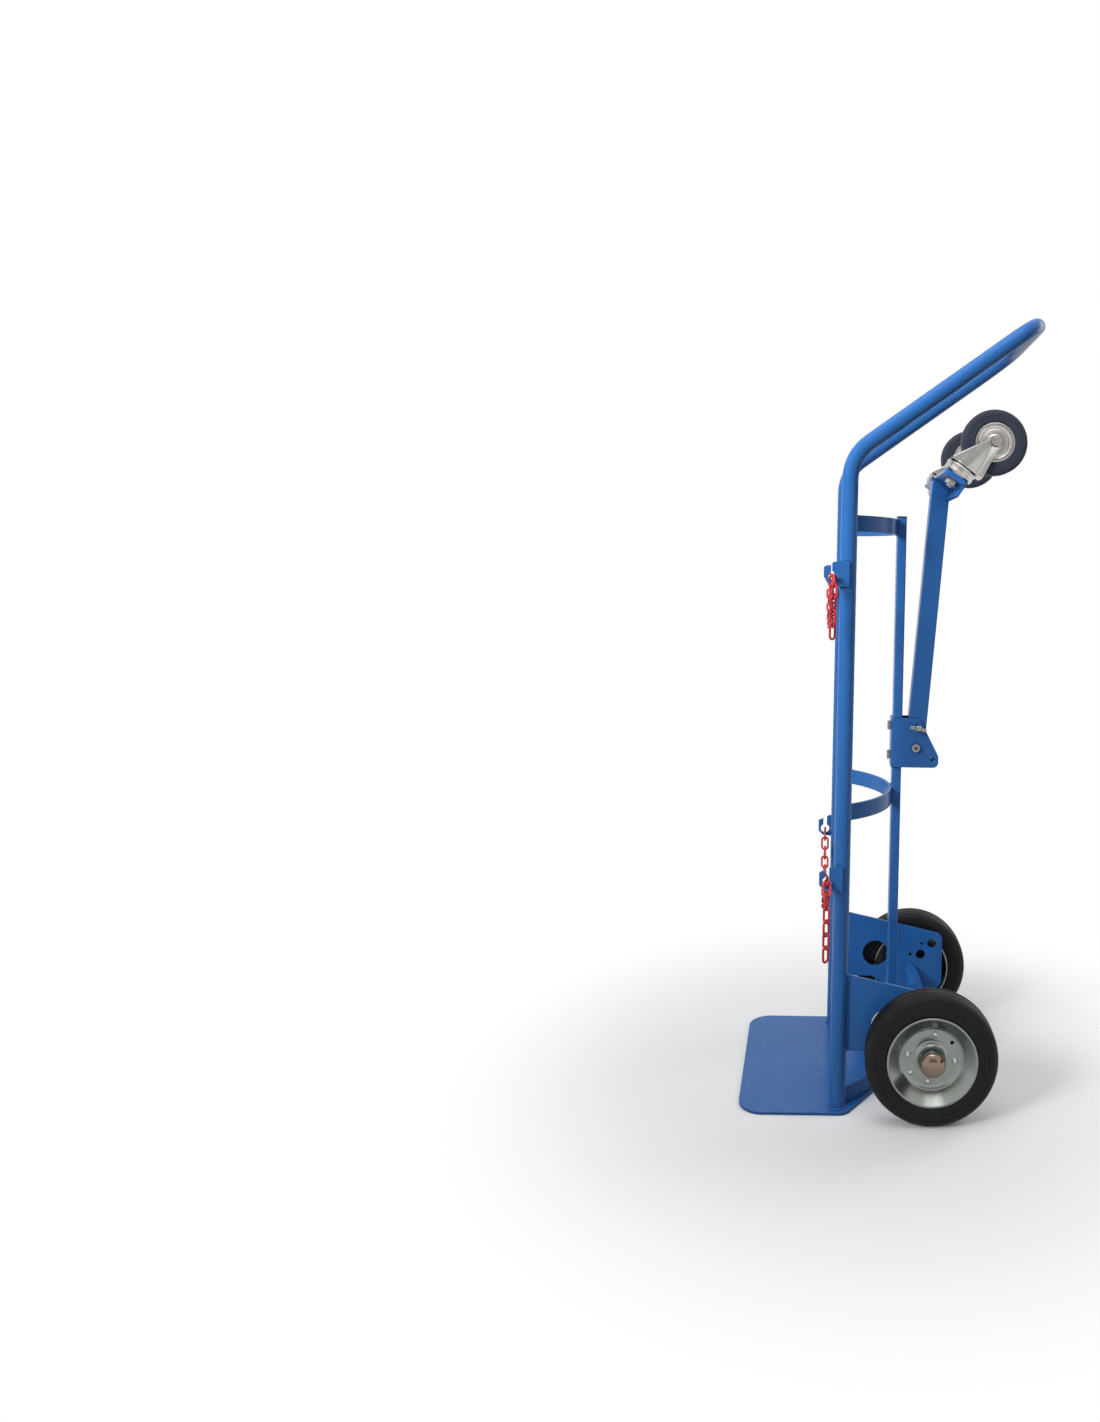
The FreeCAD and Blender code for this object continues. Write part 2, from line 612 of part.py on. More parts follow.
spacers = []
caps = []
for side, sign in SIDES:
    spacer = body(f"Spacer{side}", axle_line)
    near = plate_outer * sign
    far = (wheel_y - hub_in - face_play) * sign
    spin(spacer, [(axle_radius, near), (bush_radius, near), (bush_radius, far), (axle_radius, far)],
         "XY_Plane")
    spacers.append(spacer)
    hubcap = body(f"Hubcap{side}", axle_line)
    low = hub_face * sign
    band = axle_end * sign
    dome = (axle_end + hubcap_dome) * sign
    spin(hubcap, [(axle_radius, low), (hubcap_radius, low), (hubcap_radius, band), (hubcap_flat, dome),
                  (0, dome), (0, band), (axle_radius, band)], "XY_Plane")
    round_rings(hubcap, hubcap_edge, [(hubcap_radius, band)])
    round_rings(hubcap, hubcap_round, [(hubcap_flat, dome)])
    caps.append(hubcap)
group("axle_spacers", spacers)
group("axle_caps", caps)


def ring_spots(radius, first, count):
    """Points spread evenly round a circle."""
    turns = [first + 4 * QUARTER_TURN * i / count for i in range(count)]
    return [(radius * cosine(turn), radius * sine(turn)) for turn in turns]


# Main wheels: tyre, pressed rim, hub tube, bearing bush and rivets; the rim is dished outwards
for side, sign in SIDES:
    seat = Frame(axle_x, wheel_y * sign, wheel_radius, (0, 0, 1), 0 if sign < 0 else 180)
    tyre = body(f"wheel_{side}_tyre", seat)
    flank = wheel_radius - tyre_shoulder
    foot = rim_radius + tyre_bead
    spin(tyre, [(rim_radius, tyre_bead - tyre_half), (foot, -tyre_half), (flank, -tyre_half),
                (wheel_radius, -tread_half), (wheel_radius, tread_half), (flank, tyre_half),
                (foot, tyre_half), (rim_radius, tyre_half - tyre_bead)], "XY_Plane")
    round_rings(tyre, flank_round, [(flank, -tyre_half), (flank, tyre_half)])
    round_rings(tyre, tread_round, [(wheel_radius, -tread_half), (wheel_radius, tread_half)])
    node(tyre, f"wheel_{side}_tyre")
    rim = body(f"wheel_{side}_rim", seat)
    lip = rim_radius - rim_thick
    cone = rim_half - rim_thick * 2
    disc_back = rim_thick - dish_y
    spin(rim, [(rim_radius, -rim_half), (rim_radius, rim_half), (lip, rim_half), (lip, -cone),
               (dish_radius, disc_back), (hub_radius, disc_back), (hub_radius, -dish_y),
               (dish_radius, -dish_y), (lip, -rim_half)], "XY_Plane")
    round_rings(rim, dish_round, [(dish_radius, -dish_y)])
    round_rings(rim, dish_round + rim_thick, [(dish_radius, disc_back)])
    spots = ring_spots(rivet_pitch_radius, rivet_turn, 4)
    vents = ring_spots(vent_pitch_radius, vent_turn, 2)
    holes = [(x, z, rivet_radius) for x, z in spots] + [(x, z, vent_radius) for x, z in vents]
    pocket(rim, sketch(rim, "XZ_Plane", holes))
    node(rim, f"wheel_{side}_rim")
    hub = body(f"wheel_{side}_hub", seat)
    spin(hub, [(bush_radius, -hub_out), (hub_radius, -hub_out), (hub_radius, hub_in), (bush_radius, hub_in)],
         "XY_Plane")
    node(hub, f"wheel_{side}_hub")
    bush = body(f"wheel_{side}_bush", seat)
    bore = axle_radius + run_play
    spin(bush, [(bore, -hub_out), (bush_radius, -hub_out), (bush_radius, hub_in), (bore, hub_in)], "XY_Plane")
    node(bush, f"wheel_{side}_bush")
    rivets = []
    for number, (x, z) in enumerate(spots):
        rivet = body(f"Rivet{side}{number}", seat * Frame(x, 0, z))
        head = dish_y + rivet_head_high
        spin(rivet, [(0, -head), (rivet_flat, -head), (rivet_head_radius, -dish_y), (rivet_radius, -dish_y),
                     (rivet_radius, disc_back), (0, disc_back)], "XY_Plane")
        round_rings(rivet, rivet_round, [(rivet_flat, -head)])
        rivets.append(rivet)
    group(f"wheel_{side}_rivets", rivets)

# The bracket: a folded channel whose web lies ahead of the post, bolted through it
hinge = Frame(pivot_x, 0, pivot_z)
web_inner = post_front - pivot_x
web_outer = web_inner - cheek_thick
channel = leg_side + cheek_play * 2
bracket = body("pivot_bracket", hinge)
pad(bracket, sketch(bracket, "XZ_Plane", [[
    (web_outer, cheek_top), (web_outer, -cheek_low), (cheek_back, -cheek_low), (cheek_back, -cheek_knee),
    (cheek_nose, cheek_top),
]]), channel + cheek_thick * 2)
round_edges(bracket, cheek_corner_radius, lambda at, run: along(run, 1) and at.x > cheek_back.value - 0.01)
pocket(bracket, sketch(bracket, "XZ_Plane", [[
    (web_inner, cheek_top * 2), (web_inner, -cheek_low * 2), (cheek_back * 2, -cheek_low * 2),
    (cheek_back * 2, cheek_top * 2),
]]), channel)
lock_turns = (leg_lean, leg_lean + leg_fold)
lock_hole = lock_diameter / 2 + slide_play
cheek_holes = [(0, 0, pivot_diameter / 2 + bolt_play)]
cheek_holes += [(lock_radius * sine(turn), lock_radius * cosine(turn), lock_hole) for turn in lock_turns]
pocket(bracket, sketch(bracket, "XZ_Plane", cheek_holes))
pocket(bracket, sketch(bracket, "YZ_Plane", [(0, z - pivot_z, bolt_hole) for z in bolt_heights]))
node(bracket, "pivot_bracket")


def hexagon(flat, turn=0):
    """Corners of a hexagon of a given width across flats."""
    reach = flat / 2 / math.cos(math.radians(30))
    angles = [math.radians(60 * i + turn) for i in range(6)]
    return [(reach * math.cos(a), reach * math.sin(a)) for a in angles]


# Bracket bolts run to the rear, with their nuts behind the post
bolts = []
nuts = []
post_back = post_x + post_deep / 2
for number, height in enumerate(bolt_heights):
    lying = Frame(post_front - cheek_thick, 0, height, (0, 1, 0), 90)
    bolt = body(f"BracketBolt{number}", lying)
    head = pad(bolt, sketch(bolt, "XY_Plane", [hexagon(hex_flat)]), hex_head, both=False)
    head.Reversed = True
    shank = cheek_thick + post_deep + hex_nut + bolt_end
    pad(bolt, sketch(bolt, "XY_Plane", [(0, 0, bolt_diameter / 2)]), shank, both=False)
    bolts.append(bolt)
    nut = body(f"BracketNut{number}", Frame(post_back, 0, height, (0, 1, 0), 90))
    pad(nut, sketch(nut, "XY_Plane", [hexagon(hex_flat), (0, 0, bolt_diameter / 2)]), hex_nut, both=False)
    nuts.append(nut)
group("bracket_bolts", bolts)
group("bracket_nuts", nuts)

# The hinge bolt crosses both cheeks, with a socket head on the left and a nut on the right
cheek_face = channel / 2 + cheek_thick
crossing = Frame(pivot_x, -cheek_face, pivot_z, (1, 0, 0), -90)
pivot = body("pivot_bolt", crossing)
cap_pad = pad(pivot, sketch(pivot, "XY_Plane", [(0, 0, cap_head_radius)]), cap_head, both=False)
cap_pad.Reversed = True
pivot_radius = pivot_diameter / 2
pivot_length = cheek_face * 2 + hex_nut + bolt_end
pad(pivot, sketch(pivot, "XY_Plane", [(0, 0, pivot_radius)]), pivot_length, both=False)
pocket(pivot, sketch(pivot, "XY_Plane", [hexagon(socket_flat)], -cap_head), socket_deep * 2)
node(pivot, "pivot_bolt")
pivot_nut = body("pivot_nut", Frame(pivot_x, cheek_face, pivot_z, (1, 0, 0), -90))
pad(pivot_nut, sketch(pivot_nut, "XY_Plane", [hexagon(hex_flat), (0, 0, pivot_radius)]), hex_nut, both=False)
node(pivot_nut, "pivot_nut")

# The folding leg: a square tube with a rounded hinge end, cut to the slope of the beam
leg_line = hinge * Frame(angle=leg_lean)
leg = body("support_leg", leg_line)
half = leg_side / 2
slope = tangent(beam_tilt)
beam_low = beam_reach - beam_thick / 2 / cosine(beam_tilt)


def leg_top(x):
    """Height on the leg where the beam's face crosses it."""
    return beam_low - (dim(x) - beam_off) * slope


leg_outline = [(-half, 0), (half, 0), (half, leg_top(half)), (-half, leg_top(-half))]
pad(leg, sketch(leg, "XZ_Plane", [leg_outline]), leg_side)
pad(leg, sketch(leg, "XZ_Plane", [(0, 0, half)]), leg_side)
round_edges(leg, tube_corner_radius, lambda at, run: along(run, 2) and on_corner(at, leg_side, leg_side))
hollow = half - leg_wall
pocket(leg, sketch(leg, "XZ_Plane", [[
    (-hollow, half + leg_solid), (hollow, half + leg_solid), (hollow, leg_top(hollow) + leg_side),
    (-hollow, leg_top(-hollow) + leg_side),
]]), hollow * 2)
bush_out = pivot_radius + run_play + bush_wall
pocket(leg, sketch(leg, "XZ_Plane", [(0, 0, bush_out), (0, lock_radius, lock_hole)]))
node(leg, "support_leg")

leg_bush = body("leg_bush", leg_line)
pivot_bore = pivot_radius + run_play
spin(leg_bush, [(pivot_bore, -half), (bush_out, -half), (bush_out, half), (pivot_bore, half)], "XY_Plane")
node(leg_bush, "leg_bush")

# The lock pin, drawn back clear of the leg; its knob and wings stay outside the bracket
pin_line = leg_line * Frame(0, 0, lock_radius)
tip = half + lock_back
knob_base = cheek_face + lock_travel + face_play
pin = body("lock_pin", pin_line)
knob_end = knob_base + knob_radius * 2
waist = knob_base + knob_radius * 0.5
crest = knob_base + knob_radius * 1.5
shaft = lock_diameter / 2
spin(pin, [(0, -tip), (shaft, -tip), (shaft, -knob_base), (knob_neck, -knob_base), (knob_radius, -waist),
           (knob_radius, -crest), (knob_top, -knob_end), (0, -knob_end)], "XY_Plane")
round_rings(pin, knob_round, [(knob_radius, -waist), (knob_radius, -crest)])
wing_reach = wing_half * cosine(wing_turn)
wing_rise = wing_half * sine(wing_turn)
wing = sketch(pin, "XZ_Plane", [[
    (-wing_reach, wing_tip + wing_rise), (-wing_reach, wing_rise - wing_high), (0, -wing_high),
    (wing_reach, -wing_high - wing_rise), (wing_reach, wing_tip - wing_rise), (0, wing_high),
]], knob_base + knob_radius)
pad(pin, wing, wing_thick)
node(pin, "lock_pin")

# The castor beam: an angle bar across the leg's end, its turned-down edge open for the leg, with a kingpin
# at each end
beam_line = leg_line * Frame(beam_off, 0, beam_reach, (0, 1, 0), beam_tilt)
castor_y = beam_half - castor_inset
beam = body("castor_beam", beam_line)
pad(beam, sketch(beam, "XY_Plane", [rectangle(beam_wide, beam_half * 2)]), beam_thick)
round_edges(beam, beam_corner_radius, lambda at, run: along(run, 2))
edge_in = beam_wide / 2 - flange_thick
edge_low = -beam_thick / 2 - flange_drop
pad(beam, sketch(beam, "XZ_Plane", [[
    (edge_in, edge_low), (beam_wide / 2, edge_low), (beam_wide / 2, 0), (edge_in, 0),
]]), beam_half * 2 - beam_corner_radius * 2)
leg_room = leg_side + face_play * 2
pocket(beam, sketch(beam, "XZ_Plane", [[
    (-beam_wide, edge_low * 2), (beam_wide, edge_low * 2), (beam_wide, -beam_thick / 2),
    (-beam_wide, -beam_thick / 2),
]]), leg_room)
king_radius = king_diameter / 2
king_hole = king_radius + bolt_play
pocket(beam, sketch(beam, "XY_Plane", [(0, castor_y * sign, king_hole) for side, sign in SIDES]))
node(beam, "castor_beam")

beam_face = beam_thick / 2
race_end = beam_face + race_high
crown_start = race_end + face_play
crown_end = crown_start + fork_thick
kingpins = []
king_nuts = []
races = []
for side, sign in SIDES:
    stand = beam_line * Frame(0, castor_y * sign, 0)
    race = body(f"Race{side}", stand)
    race_flat = race_radius - race_edge
    spin(race, [(king_hole, beam_face), (race_flat, beam_face), (race_radius, beam_face + race_edge),
                (race_radius, race_end - race_edge), (race_flat, race_end), (king_hole, race_end)],
         "XZ_Plane")
    races.append(race)
    kingpin = body(f"Kingpin{side}", stand)
    below = -(beam_face + king_nut + king_end)
    head_start = crown_end + face_play
    head_end = head_start + king_head
    spin(kingpin, [(0, below), (king_radius, below), (king_radius, head_start),
                   (king_head_radius, head_start), (king_head_radius, head_end), (0, head_end)], "XZ_Plane")
    kingpins.append(kingpin)
    under_nut = body(f"KingNut{side}", stand)
    nut_outline = sketch(under_nut, "XY_Plane", [hexagon(king_flat), (0, 0, king_radius)], -beam_face)
    pad(under_nut, nut_outline, king_nut, both=False).Reversed = True
    king_nuts.append(under_nut)
group("castor_races", races)
group("castor_kingpins", kingpins)
group("castor_nuts", king_nuts)

# Each castor: a pressed fork on the kingpin, its axle, and a wheel of disc and tyre
for side, sign in SIDES:
    stand = beam_line * Frame(0, castor_y * sign, 0)
    fork_wide = fork_gap + fork_thick * 2
    fork = body(f"castor_{side}_fork", stand)
    pad(fork, sketch(fork, "XZ_Plane", [[
        (-fork_top, crown_start), (fork_rear, crown_start), (castor_trail + fork_eye_radius, castor_drop),
        (castor_trail - fork_eye_radius, castor_drop),
    ]]), fork_wide)
    pad(fork, sketch(fork, "XZ_Plane", [(castor_trail, castor_drop, fork_eye_radius)]), fork_wide)
    pad(fork, sketch(fork, "XY_Plane", [(0, 0, crown_radius)], crown_start), fork_thick, both=False)
    reach = castor_radius * 2 + castor_drop
    pocket(fork, sketch(fork, "XZ_Plane", [[
        (-reach, crown_end), (reach, crown_end), (reach, reach), (-reach, reach),
    ]]), fork_gap)
    shaft = castor_axle_diameter / 2
    pocket(fork, sketch(fork, "XZ_Plane", [(castor_trail, castor_drop, shaft + bolt_play)]))
    pocket(fork, sketch(fork, "XY_Plane", [(0, 0, king_radius + run_play)]))
    node(fork, f"castor_{side}_fork")
    wheel_line = stand * Frame(castor_trail, 0, castor_drop)
    outer = fork_wide / 2
    over = outer + castor_head
    axle_bolt = body(f"castor_{side}_axle", wheel_line)
    spin(axle_bolt, [(0, -over), (castor_head_radius, -over), (castor_head_radius, -outer), (shaft, -outer),
                     (shaft, outer), (castor_head_radius, outer), (castor_head_radius, over), (0, over)],
         "XY_Plane")
    node(axle_bolt, f"castor_{side}_axle")
    disc = body(f"castor_{side}_disc", wheel_line)
    hub_half = fork_gap / 2 - face_play
    bore = shaft + run_play
    edge = castor_half - castor_bead
    spin(disc, [(bore, -hub_half), (castor_hub_radius, -hub_half), (castor_hub_radius, -castor_disc_half),
                (castor_disc_radius, -castor_disc_half), (castor_rim_radius, -edge),
                (castor_rim_radius, edge), (castor_disc_radius, castor_disc_half),
                (castor_hub_radius, castor_disc_half), (castor_hub_radius, hub_half), (bore, hub_half)],
         "XY_Plane")
    node(disc, f"castor_{side}_disc")
    tyre = body(f"castor_{side}_tyre", wheel_line)
    wall = castor_radius - castor_shoulder
    spin(tyre, [(castor_rim_radius, -edge), (wall, -castor_half), (castor_radius, -castor_tread),
                (castor_radius, castor_tread), (wall, castor_half), (castor_rim_radius, edge)], "XY_Plane")
    round_rings(tyre, castor_flank_round, [(wall, -castor_half), (wall, castor_half)])
    round_rings(tyre, castor_tread_round, [(castor_radius, -castor_tread), (castor_radius, castor_tread)])
    node(tyre, f"castor_{side}_tyre")

# Eye plates on the outside of the uprights, each a keyhole open at the top
eyes = []
eye_y = upright_y + tube_diameter / 2 + eye_thick / 2
for level, height in (("Top", eye_top_z), ("Low", eye_low_z)):
    for side, sign in SIDES:
        eye = body(f"Eye{level}{side}", Frame(eye_x, eye_y * sign, height))
        front = eye_radius + eye_edge
        back = upright_x - tube_diameter / 2 + eye_lap - eye_x
        pad(eye, sketch(eye, "XZ_Plane", [[
            (-front, eye_plate_front), (-front, -eye_edge), (-eye_edge, -front), (back, -eye_plate_low),
            (back, eye_plate_top), (eye_radius, eye_plate_top),
        ]]), eye_thick)
        pocket(eye, sketch(eye, "XZ_Plane", [(0, 0, eye_radius)]))
        pocket(eye, sketch(eye, "XZ_Plane", [[
            (-slot_half, 0), (slot_half, 0), (slot_half, eye_plate_top * 2), (-slot_half, eye_plate_top * 2),
        ]]))
        eyes.append(eye)
group("chain_eyes", eyes)


TAIL_BEND = 36


def chain_link():
    """One welded link along X: a wire ring with two straight sides."""
    across = (link_width.value + link_wire.value) / 2
    straight_half = (link_inner.value - link_width.value) / 2
    corners = [Vector(-straight_half, -across, 0), Vector(straight_half, -across, 0),
               Vector(straight_half, across, 0), Vector(-straight_half, across, 0)]
    ends = [Vector(straight_half + across, 0, 0), Vector(-straight_half - across, 0, 0)]
    path = Part.Wire([
        Part.LineSegment(corners[0], corners[1]).toShape(),
        Part.Arc(corners[1], ends[0], corners[2]).toShape(),
        Part.LineSegment(corners[2], corners[3]).toShape(),
        Part.Arc(corners[3], ends[1], corners[0]).toShape(),
    ])
    section = Part.Wire([Part.Circle(corners[0], Vector(1, 0, 0), link_wire.value / 2).toShape()])
    return path.makePipeShell([section], True, False)


def chain_joints(tail_count):
    """Points where links meet, from the tail's end through the left eye to beyond the right eye."""
    pitch = link_inner.value - link_gap.value
    span = eye_y.value
    joints = [Vector(0, -span + pitch / 2, 0), Vector(0, -span - pitch / 2, 0)]
    for number in range(int(tail_count.value)):
        angle = math.radians(min(TAIL_BEND * (number + 1), QUARTER_TURN))
        joints.append(joints[-1] + Vector(0, -math.cos(angle), -math.sin(angle)) * pitch)
    joints.reverse()

    def drop(y):
        return -chain_sag.value * (1 - (y / (span - pitch / 2)) ** 2)

    y = joints[-1].y
    while y < span - pitch / 2:
        near, far = y, y + pitch
        while far - near > 1e-6:
            middle = (near + far) / 2
            if math.hypot(middle - y, drop(middle) - drop(y)) < pitch:
                near = middle
            else:
                far = middle
        y = near
        joints.append(Vector(0, y, min(drop(y), 0)))
    return joints


link_shape = chain_link()
for name, height, tail_count in (("chain_top", eye_top_z, tail_top), ("chain_low", eye_low_z, tail_low)):
    links = []
    joints = chain_joints(tail_count)
    for number, (start, end) in enumerate(zip(joints, joints[1:])):
        turn = FreeCAD.Rotation(Vector(1, 0, 0), end - start)
        roll = FreeCAD.Rotation(Vector(1, 0, 0), link_roll.value if number % 2 else -link_roll.value)
        copy = link_shape.copy()
        copy.Placement = FreeCAD.Placement((start + end) * 0.5, turn * roll)
        links.append(copy)
    chain = doc.addObject("Part::Feature", name)
    chain.Shape = Part.makeCompound(links)
    chain.Placement = FreeCAD.Placement(Vector(eye_x.value, 0, height.value), FreeCAD.Rotation())
    node(chain, name)


def finish():
    """Check every object, then write the pieces."""
    doc.recompute()
    for item in doc.Objects:
        if "Invalid" in item.State or "Error" in item.State:
            raise RuntimeError(f"{item.Label}: {item.State}")
    for piece in nodes:
        if piece.Shape.isNull() or not piece.Shape.isValid():
            raise RuntimeError(f"{piece.Label}: bad shape")
    os.makedirs("parts", exist_ok=True)
    for piece in nodes:
        piece.Shape.exportStep(f"parts/{piece.Label}.step")
        print(f"{piece.Label}: {len(piece.Shape.Solids)} solid(s), {piece.Shape.Volume / 1000:.1f} cm3")


finish()
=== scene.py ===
# %% [markdown]
# # A gas cylinder trolley
# The trolley is a welded tube frame with a toe plate, two rubber-tyred wheels, a folding leg on
# castors and two chains. Its solids come from CAD at their true size. Here they get their
# finishes, and the small things that a welder, a press and a paint shop leave behind: beads,
# rolled rings, ribs in the rubber. Everything is in metres, in the frame of the solids.

# %% Load the solids
import json
import math

import bpy
from mathutils import Matrix, Vector

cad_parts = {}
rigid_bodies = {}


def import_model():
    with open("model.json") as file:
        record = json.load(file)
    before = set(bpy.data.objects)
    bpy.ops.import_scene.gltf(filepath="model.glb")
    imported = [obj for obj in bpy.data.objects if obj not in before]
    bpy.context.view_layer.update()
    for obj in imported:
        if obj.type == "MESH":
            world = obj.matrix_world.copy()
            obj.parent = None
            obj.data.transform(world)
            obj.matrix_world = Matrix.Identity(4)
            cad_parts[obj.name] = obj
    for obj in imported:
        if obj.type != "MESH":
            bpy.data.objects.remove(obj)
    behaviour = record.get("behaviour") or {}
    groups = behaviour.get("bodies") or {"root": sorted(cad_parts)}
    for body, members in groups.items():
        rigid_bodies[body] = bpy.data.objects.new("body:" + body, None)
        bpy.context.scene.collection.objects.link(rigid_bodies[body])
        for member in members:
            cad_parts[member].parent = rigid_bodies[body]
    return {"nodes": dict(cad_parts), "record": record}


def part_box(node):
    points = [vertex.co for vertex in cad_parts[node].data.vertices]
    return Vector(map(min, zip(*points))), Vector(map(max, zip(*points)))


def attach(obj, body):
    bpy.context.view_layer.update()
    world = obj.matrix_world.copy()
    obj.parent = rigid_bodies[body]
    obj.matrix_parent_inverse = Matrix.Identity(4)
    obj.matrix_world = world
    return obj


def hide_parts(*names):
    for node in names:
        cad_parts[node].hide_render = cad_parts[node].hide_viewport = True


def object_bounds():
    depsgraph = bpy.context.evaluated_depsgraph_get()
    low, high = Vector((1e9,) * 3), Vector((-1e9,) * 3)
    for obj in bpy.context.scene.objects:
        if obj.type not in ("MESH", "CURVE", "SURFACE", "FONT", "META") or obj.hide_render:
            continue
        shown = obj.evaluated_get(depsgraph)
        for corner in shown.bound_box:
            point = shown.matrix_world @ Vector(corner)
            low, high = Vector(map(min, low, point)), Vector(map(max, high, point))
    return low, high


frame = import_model()
nodes = frame["nodes"]
cad_low, cad_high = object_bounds()
scene = bpy.context.scene
MM = 0.001
print("solids:", len(nodes), "reach", [round(v, 3) for v in cad_high - cad_low])

# %% [markdown]
# ## The camera
# The picture was taken with a wide lens, and the trolley stands right of the picture's middle, so
# the lens is shifted as a view camera's is. The place and the three turns were found by matching
# wheels, uprights and castors with the picture. The axes of the camera are built from those turns
# and put into one matrix, which is less error-prone than guessing three Euler angles.

# %% Place the camera
PICTURE_WIDE, PICTURE_HIGH = 1100, 1422
FOCAL_PIXELS = 1028.2
LENS_CENTRE_X, LENS_CENTRE_Y = 830, 600
SENSOR = 36.0
CAMERA_PLACE = Vector((-0.0014, -1.7006, 0.8375))
YAW, PITCH, ROLL = 0.01388, 0.03504, 0.02085
NEAREST, FARTHEST = 0.05, 100

ahead = Vector((math.sin(YAW) * math.cos(PITCH), math.cos(YAW) * math.cos(PITCH), -math.sin(PITCH)))
level = Vector((math.cos(YAW), -math.sin(YAW), 0))
upward = level.cross(ahead)
right = level * math.cos(ROLL) + upward * math.sin(ROLL)
top = upward * math.cos(ROLL) - level * math.sin(ROLL)
turn = Matrix((right, top, -ahead)).transposed()

bpy.ops.object.select_all(action="DESELECT")
bpy.ops.object.camera_add(location=CAMERA_PLACE, rotation=turn.to_euler())
camera = bpy.context.object
camera.data.sensor_width = SENSOR
camera.data.lens = SENSOR * FOCAL_PIXELS / PICTURE_HIGH
camera.data.shift_x = (PICTURE_WIDE / 2 - LENS_CENTRE_X) / PICTURE_HIGH
camera.data.shift_y = (LENS_CENTRE_Y - PICTURE_HIGH / 2) / PICTURE_HIGH
camera.data.clip_start = NEAREST
camera.data.clip_end = FARTHEST
scene.camera = camera
print("lens", round(camera.data.lens, 2), "mm")

# %% [markdown]
# ## Helpers for shader trees
# A material is a handful of nodes and wires. A few small functions keep the cells below short: they
# add a node and set its inputs by name, join two nodes, mix colours and open a fresh material. The
# Mix node has several sockets of the same name, so its colour sockets are picked by number.

# %% Shader helpers
MIX_FACTOR, MIX_FIRST, MIX_SECOND, MIX_RESULT = 0, 6, 7, 2


def add(tree, kind, settings=None, **inputs):
    """Add a node; settings are its own properties, inputs are socket values by name."""
    made = tree.nodes.new(kind)
    for name, value in (settings or {}).items():
        setattr(made, name, value)
    for name, value in inputs.items():
        made.inputs[name.replace("_", " ")].default_value = value
    return made


def wire(tree, source, socket, target, name):
    """Join an output to an input, both by name or number."""
    tree.links.new(source.outputs[socket], target.inputs[name])


def combine(tree, operation, *sources):
    """One value from two others; each source is a node and its socket."""
    made = add(tree, "ShaderNodeMath", {"operation": operation})
    for number, (source, socket) in enumerate(sources):
        wire(tree, source, socket, made, number)
    return made


def soft_step(tree, source, socket, start, end):
    """A value that rises softly from nought at the start to one at the end."""
    made = add(tree, "ShaderNodeMapRange", {"interpolation_type": "SMOOTHSTEP"},
               From_Min=start, From_Max=end)
    wire(tree, source, socket, made, "Value")
    return made


def mix_colours(tree, first, second):
    """A colour mixer whose factor is still free."""
    made = add(tree, "ShaderNodeMix", {"data_type": "RGBA"})
    made.inputs[MIX_FIRST].default_value = first
    made.inputs[MIX_SECOND].default_value = second
    return made


def new_finish(name):
    """A material with its Principled shader, ready to be wired."""
    made = bpy.data.materials.new(name)
    made.use_nodes = True
    tree = made.node_tree
    return made, tree, tree.nodes["Principled BSDF"]


def shade(red, green, blue):
    """A colour given as it looks on screen, turned into the linear values that Blender mixes."""
    def linear(part):
        return part / 12.92 if part <= 0.04045 else ((part + 0.055) / 1.055) ** 2.4
    return (linear(red / 255), linear(green / 255), linear(blue / 255), 1.0)


print("shader helpers ready")

# %% [markdown]
# ## The studio
# The object stands on a pale floor that fades into a white surround. The floor is one disc whose
# shader turns into plain white with distance, so there is no horizon, while near the wheels it is
# still an ordinary matt floor that takes a soft shadow. To the light that it throws back the floor is
# a darker grey, so that the undersides of the trolley stay dark enough. The light is a large lamp
# overhead, one at the front and one behind, as in a small photo studio. Two dark cards, a grey one
# and a bright one stand outside the picture, so that the metal has something to mirror besides white.

# %% Floor
FLOOR_RADIUS, FLOOR_DROP = 6.0, 0.0004
FLOOR_FADE_START, FLOOR_FADE_END = 0.26, 0.72
FLOOR_SEEN, FLOOR_THROWN = shade(250, 250, 250), shade(128, 128, 128)
STAND_MIDDLE = ((cad_low.x + cad_high.x) / 2, 0, 0)
WHITE = (1, 1, 1, 1)


def seen_directly(tree):
    """A mask that is one for rays from the lens, from shiny surfaces and through clear ones."""
    path = add(tree, "ShaderNodeLightPath")
    either = combine(tree, "MAXIMUM", (path, "Is Camera Ray"), (path, "Is Glossy Ray"))
    return combine(tree, "MAXIMUM", (either, 0), (path, "Is Transmission Ray"))


bpy.ops.mesh.primitive_circle_add(vertices=128, radius=FLOOR_RADIUS, fill_type="NGON",
                                  location=(0, 0, -FLOOR_DROP))
floor = bpy.context.object
floor.name = "floor"
bpy.ops.object.transform_apply(location=True)
floor_paint, tree, matt = new_finish("pale floor")
paper = mix_colours(tree, FLOOR_THROWN, FLOOR_SEEN)
wire(tree, seen_directly(tree), 0, paper, MIX_FACTOR)
wire(tree, paper, MIX_RESULT, matt, "Base Color")
matt.inputs["Roughness"].default_value = 0.85
spot = add(tree, "ShaderNodeTexCoord")
away = add(tree, "ShaderNodeVectorMath", {"operation": "DISTANCE"})
away.inputs[1].default_value = STAND_MIDDLE
wire(tree, spot, "Object", away, 0)
fade = soft_step(tree, away, "Value", FLOOR_FADE_START, FLOOR_FADE_END)
white = add(tree, "ShaderNodeEmission", Color=WHITE, Strength=1.0)
gate = combine(tree, "MULTIPLY", (fade, "Result"), (seen_directly(tree), 0))
blank = add(tree, "ShaderNodeMixShader")
wire(tree, gate, 0, blank, "Fac")
wire(tree, matt, "BSDF", blank, 1)
wire(tree, white, "Emission", blank, 2)
wire(tree, blank, "Shader", tree.nodes["Material Output"], "Surface")
floor.data.materials.append(floor_paint)
print("floor radius", FLOOR_RADIUS)

